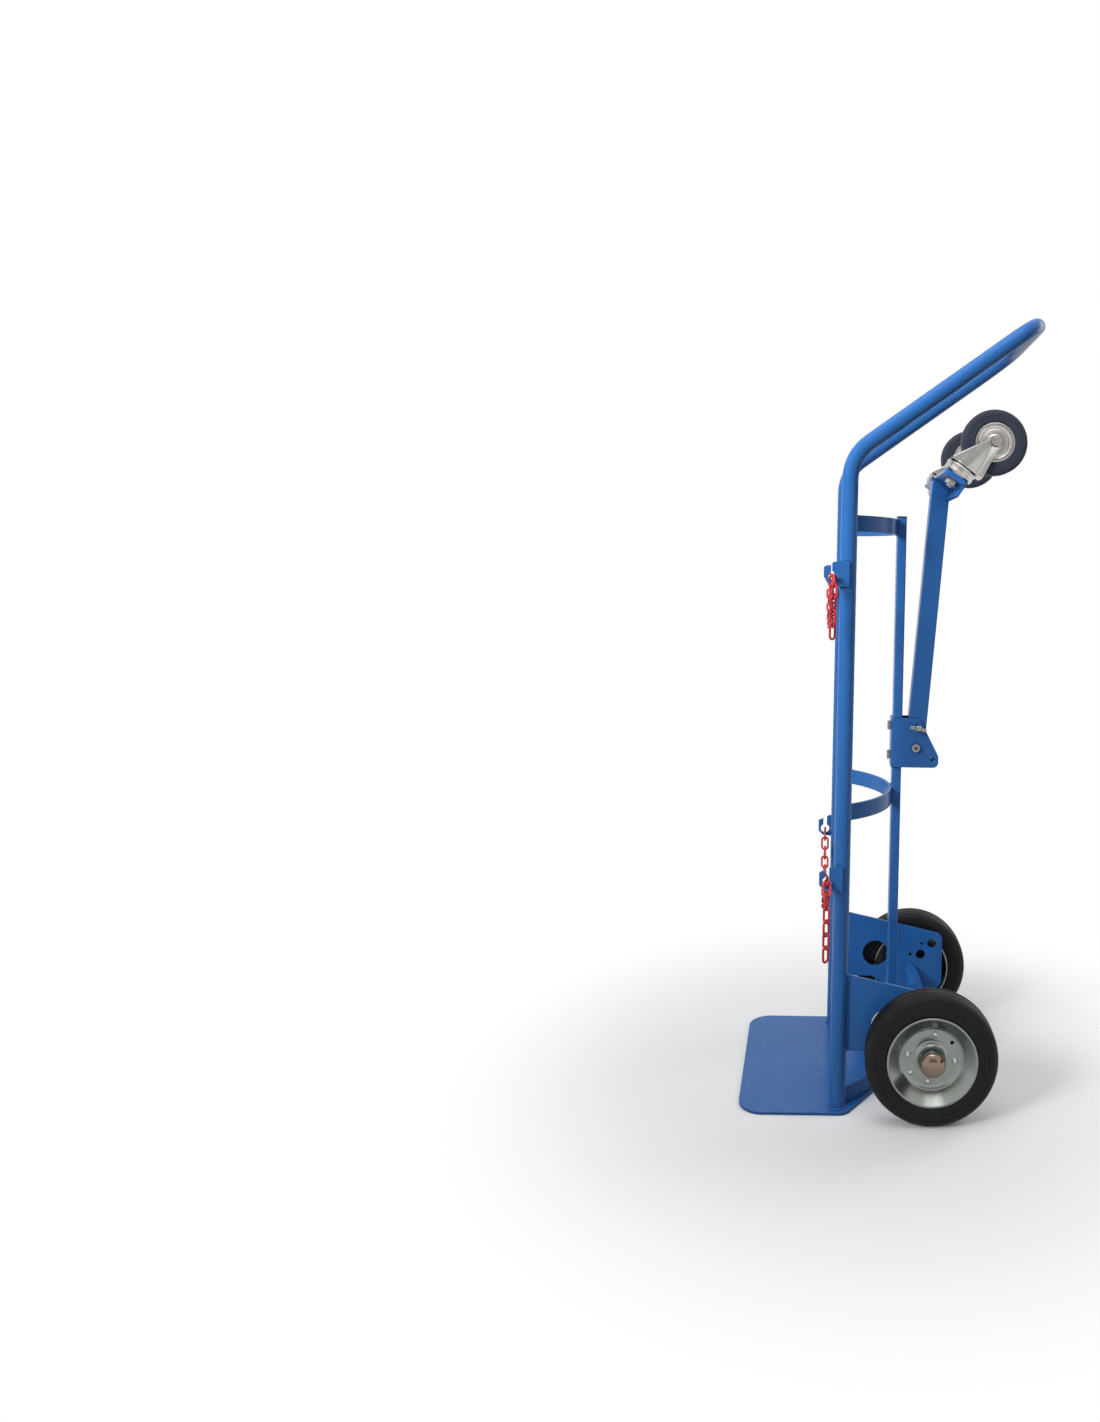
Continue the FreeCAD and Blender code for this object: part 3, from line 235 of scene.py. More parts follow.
# %% Surround
AMBIENT = 0.38
world = bpy.data.worlds.new("surround")
world.use_nodes = True
scene.world = world
tree = world.node_tree
dim = tree.nodes["Background"]
dim.inputs["Color"].default_value = WHITE
dim.inputs["Strength"].default_value = AMBIENT
bright = add(tree, "ShaderNodeBackground", Color=WHITE, Strength=1.0)
shown = add(tree, "ShaderNodeMixShader")
wire(tree, seen_directly(tree), 0, shown, "Fac")
wire(tree, dim, "Background", shown, 1)
wire(tree, bright, "Background", shown, 2)
wire(tree, shown, "Shader", tree.nodes["World Output"], "Surface")
scene.view_settings.view_transform = "Standard"
print("ambient", AMBIENT)

# %% Lamps
CHEST, HANDLE = (0.12, 0, 0.6), (0.12, 0, 1.0)
FRONT_SPREAD = 46


def lamp(name, place, target, wide, high, watts, spread=180):
    """A soft rectangular lamp that faces a point, its light held within an angle."""
    facing = (Vector(target) - Vector(place)).to_track_quat("-Z", "Y").to_euler()
    bpy.ops.object.light_add(type="AREA", location=place, rotation=facing)
    made = bpy.context.object
    made.name = name
    made.data.shape = "RECTANGLE"
    made.data.size = wide
    made.data.size_y = high
    made.data.energy = watts
    made.data.spread = math.radians(spread)
    return made


lamp("lamp_top", (-0.3, -0.5, 3.0), CHEST, 2.2, 1.6, 20)
front = lamp("lamp_front", (-1.8, -1.9, 2.0), HANDLE, 1.0, 1.0, 8.4, FRONT_SPREAD)
front.visible_glossy = False
lamp("lamp_rear", (2.2, 1.2, 1.9), CHEST, 0.9, 1.8, 16)

# %% Cards for the metal to mirror
HIDDEN_FROM = ("camera", "diffuse", "transmission", "shadow", "volume_scatter")


def card(name, place, target, wide, high, grey):
    """A board that only shows in reflections."""
    facing = (Vector(target) - Vector(place)).to_track_quat("Z", "Y").to_euler()
    bpy.ops.mesh.primitive_plane_add(size=1, location=place, rotation=facing)
    made = bpy.context.object
    made.name = name
    made.scale = (wide, high, 1)
    bpy.ops.object.transform_apply(location=True, rotation=True, scale=True)
    paint = bpy.data.materials.new(name + " paint")
    paint.use_nodes = True
    tree = paint.node_tree
    glow = add(tree, "ShaderNodeEmission", Color=(grey, grey, grey, 1), Strength=1.0)
    wire(tree, glow, "Emission", tree.nodes["Material Output"], "Surface")
    made.data.materials.append(paint)
    for ray in HIDDEN_FROM:
        setattr(made, f"visible_{ray}", False)


card("card_front", (0.3, -3.4, 1.6), CHEST, 3.4, 1.7, 0.42)
card("card_left", (-3.0, 0.3, 1.0), CHEST, 2.0, 1.6, 0.06)
card("card_right", (3.2, -1.2, 0.9), CHEST, 1.6, 1.6, 0.06)
card("card_glow", (0.3, -1.7, 3.1), CHEST, 2.0, 0.9, 2.6)

# %% [markdown]
# ## Effects that several finishes share
# Real surfaces are uneven at several scales. Each effect is one node group with named inputs and
# outputs, so the blue paint, the zinc and the rubber can all use it with their own values. The
# rounded-edge group asks the Bevel node how the surface would turn if its edges were broken; where
# that differs from the true normal there is an edge, and edges are where paint rubs thin.

# %% Group helpers
def new_group(name, inputs, outputs):
    """Open a shader group; inputs are (name, value) rows, outputs (name, kind) rows."""
    made = bpy.data.node_groups.new(name, "ShaderNodeTree")
    for label, value in inputs:
        socket = made.interface.new_socket(label, in_out="INPUT", socket_type="NodeSocketFloat")
        socket.default_value = value
    for label, kind in outputs:
        made.interface.new_socket(label, in_out="OUTPUT", socket_type="NodeSocket" + kind)
    return made, made.nodes.new("NodeGroupInput"), made.nodes.new("NodeGroupOutput")


def use_group(tree, group, **inputs):
    """Place a group in a material and set its inputs."""
    return add(tree, "ShaderNodeGroup", {"node_tree": group}, **inputs)


def noise_in(group, place, socket, inward, scale, detail, roughness):
    """Noise at a place; its scale is one of the group's inputs."""
    made = add(group, "ShaderNodeTexNoise", Detail=detail, Roughness=roughness)
    wire(group, place, socket, made, "Vector")
    wire(group, inward, scale, made, "Scale")
    return made


print("group helpers ready")

# %% Surface grain
grain, inward, outward = new_group(
    "surface grain", [("Scale", 400.0), ("Blotch Scale", 14.0)],
    [("Fine", "Float"), ("Blotch", "Float")])
place = add(grain, "ShaderNodeTexCoord")
fine = noise_in(grain, place, "Object", inward, "Scale", 4.0, 0.6)
blotch = noise_in(grain, place, "Object", inward, "Blotch Scale", 5.0, 0.55)
wire(grain, fine, "Fac", outward, "Fine")
wire(grain, blotch, "Fac", outward, "Blotch")
print("group:", grain.name)

# %% Broken edges
EDGE_STARTS, EDGE_WHOLE = 0.95, 0.75
edges, inward, outward = new_group(
    "broken edges", [("Radius", 0.0012), ("Break Up", 60.0)],
    [("Normal", "Vector"), ("Worn", "Float")])
rounded = add(edges, "ShaderNodeBevel", {"samples": 6})
wire(edges, inward, "Radius", rounded, "Radius")
surface = add(edges, "ShaderNodeNewGeometry")
alike = add(edges, "ShaderNodeVectorMath", {"operation": "DOT_PRODUCT"})
wire(edges, rounded, "Normal", alike, 0)
wire(edges, surface, "Normal", alike, 1)
turned = add(edges, "ShaderNodeMapRange", From_Min=EDGE_STARTS, From_Max=EDGE_WHOLE)
wire(edges, alike, "Value", turned, "Value")
place = add(edges, "ShaderNodeTexCoord")
chips = noise_in(edges, place, "Object", inward, "Break Up", 6.0, 0.7)
sharp = soft_step(edges, chips, "Fac", 0.50, 0.66)
worn = combine(edges, "MULTIPLY", (turned, "Result"), (sharp, "Result"))
wire(edges, rounded, "Normal", outward, "Normal")
wire(edges, worn, 0, outward, "Worn")
print("group:", edges.name)

# %% Floor dust
dust, inward, outward = new_group(
    "floor dust", [("Height", 0.12), ("Scale", 30.0)], [("Mask", "Float")])
place = add(dust, "ShaderNodeTexCoord")
axes = add(dust, "ShaderNodeSeparateXYZ")
wire(dust, place, "Object", axes, "Vector")
low = add(dust, "ShaderNodeMapRange", From_Min=0.0, To_Min=1.0, To_Max=0.0)
wire(dust, axes, "Z", low, "Value")
wire(dust, inward, "Height", low, "From Max")
patch = noise_in(dust, place, "Object", inward, "Scale", 6.0, 0.65)
settled = soft_step(dust, patch, "Fac", 0.42, 0.72)
mask = combine(dust, "MULTIPLY", (low, "Result"), (settled, "Result"))
wire(dust, mask, 0, outward, "Mask")
print("group:", dust.name)

# %% Hairline scratches
scratches, inward, outward = new_group("hairline scratches", [("Scale", 90.0)], [("Mask", "Float")])
place = add(scratches, "ShaderNodeTexCoord")
slant = add(scratches, "ShaderNodeMapping", Rotation=(0.3, 0.5, 0.8), Scale=(1.0, 0.06, 0.35))
wire(scratches, place, "Object", slant, "Vector")
lines = noise_in(scratches, slant, "Vector", inward, "Scale", 3.0, 0.6)
thin = soft_step(scratches, lines, "Fac", 0.66, 0.72)
wire(scratches, thin, "Result", outward, "Mask")
print("group:", scratches.name)

# %% Painted crevice shade
crevice_shade, inward, outward = new_group("crevice painted shade", [("Reach", 0.006)], [("Mask", "Float")])
# Painted shade: an ambient occlusion mask that is one in corners, creases and recesses, so that
# colours laid over it darken there.
shelter = add(crevice_shade, "ShaderNodeAmbientOcclusion", {"samples": 8})
wire(crevice_shade, inward, "Reach", shelter, "Distance")
shut_in = soft_step(crevice_shade, shelter, "AO", 0.88, 0.40)
wire(crevice_shade, shut_in, "Result", outward, "Mask")
print("group:", crevice_shade.name)

# %% [markdown]
# ## Layers of a finish
# Every finish below is built up alike: a colour that drifts with the blotches of the grain, other
# colours laid over it where a mask is set, gloss that follows the same blotches, and a fine bump.
# Each of these is one function, so a finish reads as a list of its layers.

# %% Layer helpers
BLOTCH_LOW, BLOTCH_HIGH = 0.3, 0.7
finishes = {}


def drifting(tree, texture, first, second):
    """A colour that drifts between two others with the blotches of the grain."""
    made = mix_colours(tree, first, second)
    wire(tree, texture, "Blotch", made, MIX_FACTOR)
    return made


def cover(tree, below, colour, mask, socket, share):
    """Lay a colour over what is below, where a mask is set, at a share of its strength."""
    weaker = combine(tree, "MULTIPLY", (mask, socket))
    weaker.inputs[1].default_value = share
    made = mix_colours(tree, colour, colour)
    wire(tree, weaker, 0, made, MIX_FACTOR)
    wire(tree, below, MIX_RESULT, made, MIX_FIRST)
    return made


def clouded(tree, texture, shader, low, high):
    """Let the roughness follow the blotches."""
    gloss = add(tree, "ShaderNodeMapRange", From_Min=BLOTCH_LOW, From_Max=BLOTCH_HIGH,
                To_Min=low, To_Max=high)
    wire(tree, texture, "Blotch", gloss, "Value")
    wire(tree, gloss, "Result", shader, "Roughness")


def bumpy(tree, texture, shader, strength, height, rounding=None):
    """Raise the fine grain, over rounded edges where there are any."""
    bump = add(tree, "ShaderNodeBump", Strength=strength, Distance=height)
    wire(tree, texture, "Fine", bump, "Height")
    if rounding:
        wire(tree, rounding, "Normal", bump, "Normal")
    wire(tree, bump, "Normal", shader, "Normal")


print("layer helpers ready")

# %% [markdown]
# ## Blue paint
# The frame is powder coated: one even mid blue, baked on, glossy with a faint orange peel. A flat
# blue would look like plastic, so the colour drifts a little, the peel bends the reflections, rubbed
# edges show a paler, chalky blue, corners carry a painted shade and the lowest parts carry scuffs.

# %% Paint for the frame
BLUE, BLUE_PALE = shade(41, 97, 164), shade(46, 104, 171)
BLUE_RUBBED, BLUE_PAINTED_SHADE, SCUFF = shade(122, 158, 205), shade(16, 46, 88), shade(150, 160, 170)
RUB_SHARE, SCUFF_SHARE, CORNER_SHADE_SHARE = 0.06, 0.06, 0.6

finishes["blue_paint"], tree, paint = new_finish("blue powder coat")
peel = use_group(tree, grain, Scale=260.0, Blotch_Scale=9.0)
rub = use_group(tree, edges, Radius=0.0008, Break_Up=55.0)
scuffs = use_group(tree, dust, Height=0.07, Scale=55.0)
shaded_corners = use_group(tree, crevice_shade, Reach=0.008)
tone = drifting(tree, peel, BLUE, BLUE_PALE)
tone = cover(tree, tone, BLUE_RUBBED, rub, "Worn", RUB_SHARE)
tone = cover(tree, tone, SCUFF, scuffs, "Mask", SCUFF_SHARE)
# Painted shade: corners and creases are darkened towards a deep blue by the occlusion mask.
tone = cover(tree, tone, BLUE_PAINTED_SHADE, shaded_corners, "Mask", CORNER_SHADE_SHARE)
wire(tree, tone, MIX_RESULT, paint, "Base Color")
clouded(tree, peel, paint, 0.26, 0.40)
bumpy(tree, peel, paint, 0.1, 0.00002, rub)
paint.inputs["Coat Weight"].default_value = 0.12
paint.inputs["Coat Roughness"].default_value = 0.12
paint.inputs["Specular IOR Level"].default_value = 0.14
print("finish:", finishes["blue_paint"].name)

# %% [markdown]
# ## Zinc
# Forks, nuts and pins are bright zinc plate; the wheel rims have the thicker, slightly blue-green
# passivated kind, and the axle caps are polished. All are metal with a cloudy crystal pattern, so the
# roughness follows blotches and the tint slides between a cool and a warm grey; crevices carry a
# painted shade. One function makes them all from their own values.

# %% Zinc finishes
SCRATCHED, PAINTED_SHADE_GREY = shade(120, 122, 122), shade(46, 47, 48)
SCRATCH_SHARE, PAINTED_SHADE_SHARE = 0.4, 0.75


def zinc(name, cool, warm, rough_low, rough_high, blotch_scale):
    """Plated steel with clouded gloss and a drifting tint."""
    made, tree, metal = new_finish(name)
    texture = use_group(tree, grain, Scale=900.0, Blotch_Scale=blotch_scale)
    marks = use_group(tree, scratches, Scale=160.0)
    shaded_corners = use_group(tree, crevice_shade, Reach=0.005)
    soft = use_group(tree, edges, Radius=0.0006, Break_Up=90.0)
    tone = drifting(tree, texture, cool, warm)
    tone = cover(tree, tone, SCRATCHED, marks, "Mask", SCRATCH_SHARE)
    # Painted shade: crevices are darkened towards a dark grey by the occlusion mask.
    tone = cover(tree, tone, PAINTED_SHADE_GREY, shaded_corners, "Mask", PAINTED_SHADE_SHARE)
    wire(tree, tone, MIX_RESULT, metal, "Base Color")
    clouded(tree, texture, metal, rough_low, rough_high)
    bumpy(tree, texture, metal, 0.1, 0.00001, soft)
    metal.inputs["Metallic"].default_value = 1.0
    return made


finishes["zinc_steel"] = zinc("bright zinc", shade(200, 200, 201), shade(198, 193, 186),
                              0.24, 0.36, 60.0)
finishes["zinc_rim"] = zinc("blue-green zinc", shade(134, 143, 142), shade(149, 150, 143),
                            0.18, 0.28, 35.0)
# Painted reflection: the polished cap's base colour is darkened to a brown that stands in for what it
# mirrors, not the metal's own tint.
finishes["bright_cap"] = zinc("polished cap painted reflection", shade(130, 112, 100), shade(144, 126, 112),
                              0.05, 0.10, 40.0)
dark_dull_bolts = zinc("dull zinc", shade(138, 139, 141), shade(150, 147, 142), 0.22, 0.34, 80.0)
print("finishes:", sorted(finishes))

# %% [markdown]
# ## Rubber, red paint and plastic
# Tyre rubber is nearly black, dull, and grey with dust where it meets the floor. The chain is
# dipped in red paint that has rubbed through to dark steel where links ride on each other. The
# small plastic pieces only need a moulded, slightly mottled surface.

# %% Rubber
DUST_SHARE = 0.12


def tyre_rubber(name, dark, pale, dust_grey):
    """Dull rubber, dusty where it meets the floor."""
    made, tree, rubber = new_finish(name)
    skin = use_group(tree, grain, Scale=700.0, Blotch_Scale=22.0)
    road = use_group(tree, dust, Height=0.22, Scale=48.0)
    tone = drifting(tree, skin, dark, pale)
    tone = cover(tree, tone, dust_grey, road, "Mask", DUST_SHARE)
    wire(tree, tone, MIX_RESULT, rubber, "Base Color")
    clouded(tree, skin, rubber, 0.50, 0.68)
    bumpy(tree, skin, rubber, 0.25, 0.0001)
    rubber.inputs["Specular IOR Level"].default_value = 0.25
    return made


finishes["rubber"] = tyre_rubber("tyre rubber", shade(11, 11, 13), shade(19, 19, 22),
                                 shade(84, 80, 74))
finishes["castor_rubber"] = tyre_rubber("castor rubber", shade(40, 45, 57), shade(52, 57, 70),
                                        shade(92, 92, 92))
print("finishes:", sorted(finishes))

# %% Red chain paint
RED, RED_PALE, RED_BARE = shade(176, 26, 38), shade(196, 44, 52), shade(96, 40, 42)
BARE_SHARE = 0.6
finishes["red_paint"], tree, red = new_finish("red dipped steel")
coat = use_group(tree, grain, Scale=800.0, Blotch_Scale=120.0)
rubbed = use_group(tree, scratches, Scale=420.0)
tone = drifting(tree, coat, RED, RED_PALE)
tone = cover(tree, tone, RED_BARE, rubbed, "Mask", BARE_SHARE)
wire(tree, tone, MIX_RESULT, red, "Base Color")
clouded(tree, coat, red, 0.28, 0.46)
print("finish:", finishes["red_paint"].name)

# %% Plastics
def plastic(name, dark, pale):
    """Moulded plastic with a fine eroded skin."""
    made, tree, body = new_finish(name)
    skin = use_group(tree, grain, Scale=1100.0, Blotch_Scale=60.0)
    tone = drifting(tree, skin, dark, pale)
    wire(tree, tone, MIX_RESULT, body, "Base Color")
    clouded(tree, skin, body, 0.42, 0.58)
    bumpy(tree, skin, body, 0.2, 0.0002)
    return made


finishes["black_plastic"] = plastic("black end cap", shade(26, 26, 28), shade(40, 40, 42))
finishes["bearing_plastic"] = plastic("grey bearing", shade(150, 150, 146), shade(172, 172, 168))
print("finishes:", sorted(finishes))

# %% [markdown]
# ## Dress the solids
# Each solid names its finish in the record that came with it, so one loop hands them out. The bolts
# of the hinge have the same zinc as the forks, only darker and duller. The meshes stay as they are:
# only the material slots change.

# %% Hand out the finishes
# The hinge bolts and nuts and the lock pin get a darker, duller zinc.
DARKER_FASTENERS = ("bracket_bolts", "bracket_nuts", "pivot_bolt", "pivot_nut", "lock_pin")
for row in frame["record"]["subparts"]:
    solid = nodes[row["node"]]
    finish = dark_dull_bolts if row["node"] in DARKER_FASTENERS else finishes[row["material_slot"]]
    solid.data.materials.clear()
    solid.data.materials.append(finish)

# %% [markdown]
# ## Helpers for new pieces
# New pieces are modelled as they would be by hand: a primitive at its size and place, then edits on
# chosen faces, then modifiers that are applied. These functions pick faces by where they lie, and
# hand a finished piece its name, its finish and the body that it moves with.

# %% Modelling helpers
ROUND_ANGLE = math.radians(35)
ALONG_Y = (math.pi / 2, 0, 0)
SIDES = {"left": -1, "right": 1}


def begin():
    """Leave edit mode and let go of everything."""
    if bpy.context.object and bpy.context.object.mode != "OBJECT":
        bpy.ops.object.mode_set(mode="OBJECT")
    bpy.ops.object.select_all(action="DESELECT")


def choose(*pieces):
    """Select these pieces and nothing else; the first is the active one."""
    begin()
    for piece in pieces:
        piece.select_set(True)
    bpy.context.view_layer.objects.active = pieces[0]


def pick(made, wanted):
    """Edit a piece with only the faces selected that pass the test."""
    bpy.ops.object.mode_set(mode="EDIT")
    bpy.ops.mesh.select_mode(type="FACE")
    bpy.ops.mesh.select_all(action="DESELECT")
    bpy.ops.object.mode_set(mode="OBJECT")
    for face in made.data.polygons:
        face.select = wanted(face)
    bpy.ops.object.mode_set(mode="EDIT")


def middle_of(node):
    """The middle of a solid's box."""
    low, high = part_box(node)
    return (Vector(low) + Vector(high)) / 2


def settle(made, name, body, slot, *stands_for):
    """Finish a piece: its own mesh at the origin, its name, its finish and its body."""
    choose(made)
    bpy.ops.object.transform_apply(location=True, rotation=True, scale=True)
    bpy.ops.object.shade_smooth_by_angle(angle=ROUND_ANGLE)
    made.name = name
    made.data.materials.clear()
    made.data.materials.append(finishes[slot])
    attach(made, body)
    if stands_for:
        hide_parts(*stands_for)
    print(name, "on", body, "-", len(made.data.polygons), "faces")


print("modelling helpers ready")

# %% [markdown]
# ## Tyres and castor discs
# A tyre comes out of its mould with a rounded shoulder, fine rings on the wall and a groove along
# each edge of the tread. It could be spun from a profile, but a cylinder whose ends are inset step by
# step gives the same rings and every step stays a plain number: how far in, and how far out. The
# castor's pressed disc is made the same way, from its rolled edge to its hub.

# %% Stepped wheels
TYRE_RADIUS, TYRE_WIDE, TYRE_SHOULDER = 100, 44, 12
TREAD_STEPS = [(2.0, 0), (0.6, -1.4), (1.2, 0), (0.6, 1.4)]
TYRE_STEPS = [(1.2, 0), (0.7, 0.8), (1.6, 0), (0.7, -0.8), (5.2, 0),
              (0.5, 0.6), (0.9, 0), (0.5, -0.6), (5.7, 0), (3.0, -2.0)]
CASTOR_RADIUS, CASTOR_WIDE, CASTOR_SHOULDER = 50, 30, 7
CASTOR_STEPS = [(1.0, 0), (0.5, 0.5), (1.2, 0), (0.5, -0.5), (7.8, 0), (2.0, -2.0)]
DISC_RADIUS, DISC_WIDE = 30, 26
DISC_STEPS = [(1.6, 0.5), (1.4, -2.4), (4.6, -2.6), (1.0, 0), (0.8, 0.8), (1.6, 0.3),
              (0.8, -0.8), (4.2, -1.6), (1.0, 1.2), (2.5, 0.9), (0.5, 7.7), (5.9, 0)]
FACES_END, FACES_ROUND = 0.9, 0.01


def stepped_wheel(place, radius, wide, steps, shoulder=0, tread=()):
    """A ring about the Y axis: both ends inset step by step, then joined through the middle."""
    begin()
    bpy.ops.mesh.primitive_cylinder_add(vertices=96, radius=radius * MM, depth=wide * MM,
                                        location=place, rotation=ALONG_Y)
    made = bpy.context.object
    if shoulder:
        pick(made, lambda face: abs(face.normal.z) > FACES_END)
        bpy.ops.mesh.bevel(offset=shoulder * MM, segments=6, affect="EDGES")
    if tread:
        pick(made, lambda face: abs(face.normal.z) < FACES_ROUND)
        for inward, outward in tread:
            bpy.ops.mesh.inset(thickness=inward * MM, depth=outward * MM)
    pick(made, lambda face: len(face.vertices) > 4)
    for inward, outward in steps:
        bpy.ops.mesh.inset(thickness=inward * MM, depth=outward * MM)
    bpy.ops.mesh.bridge_edge_loops()
    bpy.ops.mesh.select_all(action="SELECT")
    bpy.ops.mesh.normals_make_consistent(inside=False)
    return made


for side in SIDES:
    tyre, small_tyre, disc = f"wheel_{side}_tyre", f"castor_{side}_tyre", f"castor_{side}_disc"
    made = stepped_wheel(middle_of(tyre), TYRE_RADIUS, TYRE_WIDE, TYRE_STEPS, TYRE_SHOULDER,
                         TREAD_STEPS)
    settle(made, f"moulded_tyre_{side}", f"wheel_{side}", "rubber", tyre)
    made = stepped_wheel(middle_of(small_tyre), CASTOR_RADIUS, CASTOR_WIDE, CASTOR_STEPS,
                         CASTOR_SHOULDER)
    settle(made, f"moulded_castor_{side}", f"castor_wheel_{side}", "castor_rubber", small_tyre)
    made = stepped_wheel(middle_of(disc), DISC_RADIUS, DISC_WIDE, DISC_STEPS)
    settle(made, f"pressed_disc_{side}", f"castor_wheel_{side}", "zinc_steel", disc)

# %% [markdown]
# ## Rolled rings
# Pressed sheet is seldom left with a raw edge: the rims are rolled over where they hold the tyre, the
# hub tube flares where it is pressed through the disc, and each castor's swivel head is rolled round
# its balls. A torus is the whole shape of such a roll, so these stay tori at their true radii. The
# flare is a thin disc inset in rising steps.

# %% Rims, hubs and swivel heads
RIM_ROLL, RIM_WIRE, RIM_EDGE = 66.4, 1.7, 21.4
HUB_ROLL, HUB_WIRE, HUB_EDGE = 17.0, 1.3, 24.5
FLARE_RADIUS, FLARE_THICK, FLARE_FACE = 26, 0.4, 4.0
FLARE_STEPS = [(2.0, 0.4), (2.5, 1.0), (2.2, 1.8), (1.6, 2.8)]
HEAD_ROLLS = ((23.2, 2.2, 17.2), (21.8, 2.6, 9.0))
CASTOR_TRAIL, CASTOR_DROP = 18.0, 78.5
BEAM_LEAN = math.radians(34.0)


def ring(place, turn, radius, wire_radius):
    """A rolled edge."""
    begin()
    bpy.ops.mesh.primitive_torus_add(major_segments=96, minor_segments=12,
                                     location=place, rotation=turn,
                                     major_radius=radius * MM, minor_radius=wire_radius * MM)
    return bpy.context.object


def join(pieces):
    """Several pieces made one."""
    choose(*pieces)
    bpy.ops.object.join()
    return pieces[0]


for side, sign in SIDES.items():
    hub = middle_of(f"wheel_{side}_tyre")
    rolls = [ring(hub + Vector((0, RIM_EDGE * MM * end, 0)), ALONG_Y, RIM_ROLL, RIM_WIRE)
             for end in (-1, 1)]
    settle(join(rolls), f"rolled_rim_{side}", f"wheel_{side}", "zinc_rim")
    begin()
    disc_face = hub + Vector((0, FLARE_FACE * MM * sign, 0))
    bpy.ops.mesh.primitive_cylinder_add(vertices=96, radius=FLARE_RADIUS * MM,
                                        depth=FLARE_THICK * MM,
                                        location=disc_face, rotation=ALONG_Y)
    flare = bpy.context.object
    pick(flare, lambda face: len(face.vertices) > 4 and face.normal.z * -sign > FACES_END)
    for inward, outward in FLARE_STEPS:
        bpy.ops.mesh.inset(thickness=inward * MM, depth=outward * MM)
    begin()
    collar = ring(hub + Vector((0, HUB_EDGE * MM * sign, 0)), ALONG_Y, HUB_ROLL, HUB_WIRE)
    settle(join([flare, collar]), f"hub_flare_{side}", f"wheel_{side}", "zinc_rim")

swivel_axis = Vector((math.sin(BEAM_LEAN), 0, math.cos(BEAM_LEAN)))
swivel_side = Vector((math.cos(BEAM_LEAN), 0, -math.sin(BEAM_LEAN)))
tyre_from_stand = (swivel_side * CASTOR_TRAIL + swivel_axis * CASTOR_DROP) * MM
stands = {side: middle_of(f"castor_{side}_tyre") - tyre_from_stand for side in SIDES}
heads = []
for stand in stands.values():
    for radius, thickness, lift in HEAD_ROLLS:
        heads.append(ring(stand + swivel_axis * lift * MM, (0, BEAM_LEAN, 0), radius, thickness))
settle(join(heads), "swivel_head_rolls", "support", "zinc_steel")

# %% [markdown]
# ## Castor forks
# A castor's fork is pressed from one sheet and its free edges are turned over to stiffen it. The
# solid has the sheet's outline with sharp edges. A copy of it gets its edges rounded with a Bevel
# modifier, a thin rod along the front edge stands for the turned-over lip, and a strip along the rear
# edge for the flange that is bent outwards there.

# %% Pressed forks
FORK_EDGE, LIP_WIRE, SHEET_AWAY = 0.9, 1.5, 18.6
LIP_LINE = ((-21.6, 23.5), (8.6, 76.0))
FLANGE_LINE, FLANGE_WIDE, FLANGE_THICK = ((20.0, 23.0), (16.5, 72.0)), 12.0, 2.0
FLANGE_BEND = math.radians(18)
SHARP_EDGE, FLAT_EDGE = math.radians(50), math.radians(1)
SAME_POINT = 0.000001


def rod(start, end, radius):
    """A round rod between two points."""
    begin()
    run = end - start
    bpy.ops.mesh.primitive_cylinder_add(vertices=16, radius=radius, depth=run.length,
                                        location=(start + end) / 2,
                                        rotation=run.to_track_quat("Z", "Y").to_euler())
    return bpy.context.object


def round_off(made, width):
    """Round a piece's sharp edges."""
    choose(made)
    rounding = made.modifiers.new("rounding", "BEVEL")
    rounding.width = width * MM
    rounding.segments = 3
    rounding.angle_limit = SHARP_EDGE
    bpy.ops.object.modifier_apply(modifier="rounding")
    return made


def strip(start, end, aside, wide, thick):
    """A strip of sheet along a line, its width to one side of it."""
    begin()
    run = (end - start).normalized()
    across = (aside - run * aside.dot(run)).normalized()
    turn = Matrix((across, run.cross(across), run)).transposed()
    bpy.ops.mesh.primitive_cube_add(size=1, location=(start + end) / 2 + across * wide / 2 * MM,
                                    rotation=turn.to_euler())
    made = bpy.context.object
    made.scale = (wide * MM, thick * MM, (end - start).length)
    bpy.ops.object.transform_apply(location=True, rotation=True, scale=True)
    return round_off(made, thick / 3)


for side in SIDES:
    choose(nodes[f"castor_{side}_fork"])
    bpy.ops.object.duplicate()
    fork = bpy.context.object
    bpy.ops.object.parent_clear(type="CLEAR_KEEP_TRANSFORM")
    bpy.ops.object.transform_apply(location=True, rotation=True, scale=True)
    bpy.ops.object.mode_set(mode="EDIT")
    bpy.ops.mesh.select_all(action="SELECT")
    bpy.ops.mesh.remove_doubles(threshold=SAME_POINT)
    bpy.ops.mesh.dissolve_limited(angle_limit=FLAT_EDGE)
    round_off(fork, FORK_EDGE)
    trims = []
    for out in (-1, 1):
        sheet = stands[side] + Vector((0, SHEET_AWAY * out, 0)) * MM
        lip, fold = [[sheet + (swivel_side * across + swivel_axis * up) * MM for across, up in line]
                     for line in (LIP_LINE, FLANGE_LINE)]
        bent = swivel_side * math.cos(FLANGE_BEND) + Vector((0, out, 0)) * math.sin(FLANGE_BEND)
        trims += [rod(*lip, LIP_WIRE * MM), strip(*fold, bent, FLANGE_WIDE, FLANGE_THICK)]
    settle(join([fork] + trims), f"pressed_fork_{side}", f"castor_{side}", "zinc_steel",
           f"castor_{side}_fork")

# %% [markdown]
# ## Weld beads
# The frame is held together by arc welds, painted over. A bead is a row of small overlapping ripples,
# so one small ball is modelled and repeated: with an Array along a straight seam, with a spin
# round a tube. A noise Displace, applied at the end, makes the ripples uneven as a hand-laid bead is.

# %% Weld helpers
RIPPLE, RIPPLE_STEP = 2.3, 1.7
UNEVEN, UNEVEN_SCALE = 1.2, 0.006
noise = bpy.data.textures.new("weld ripple noise", "CLOUDS")
noise.noise_scale = UNEVEN_SCALE


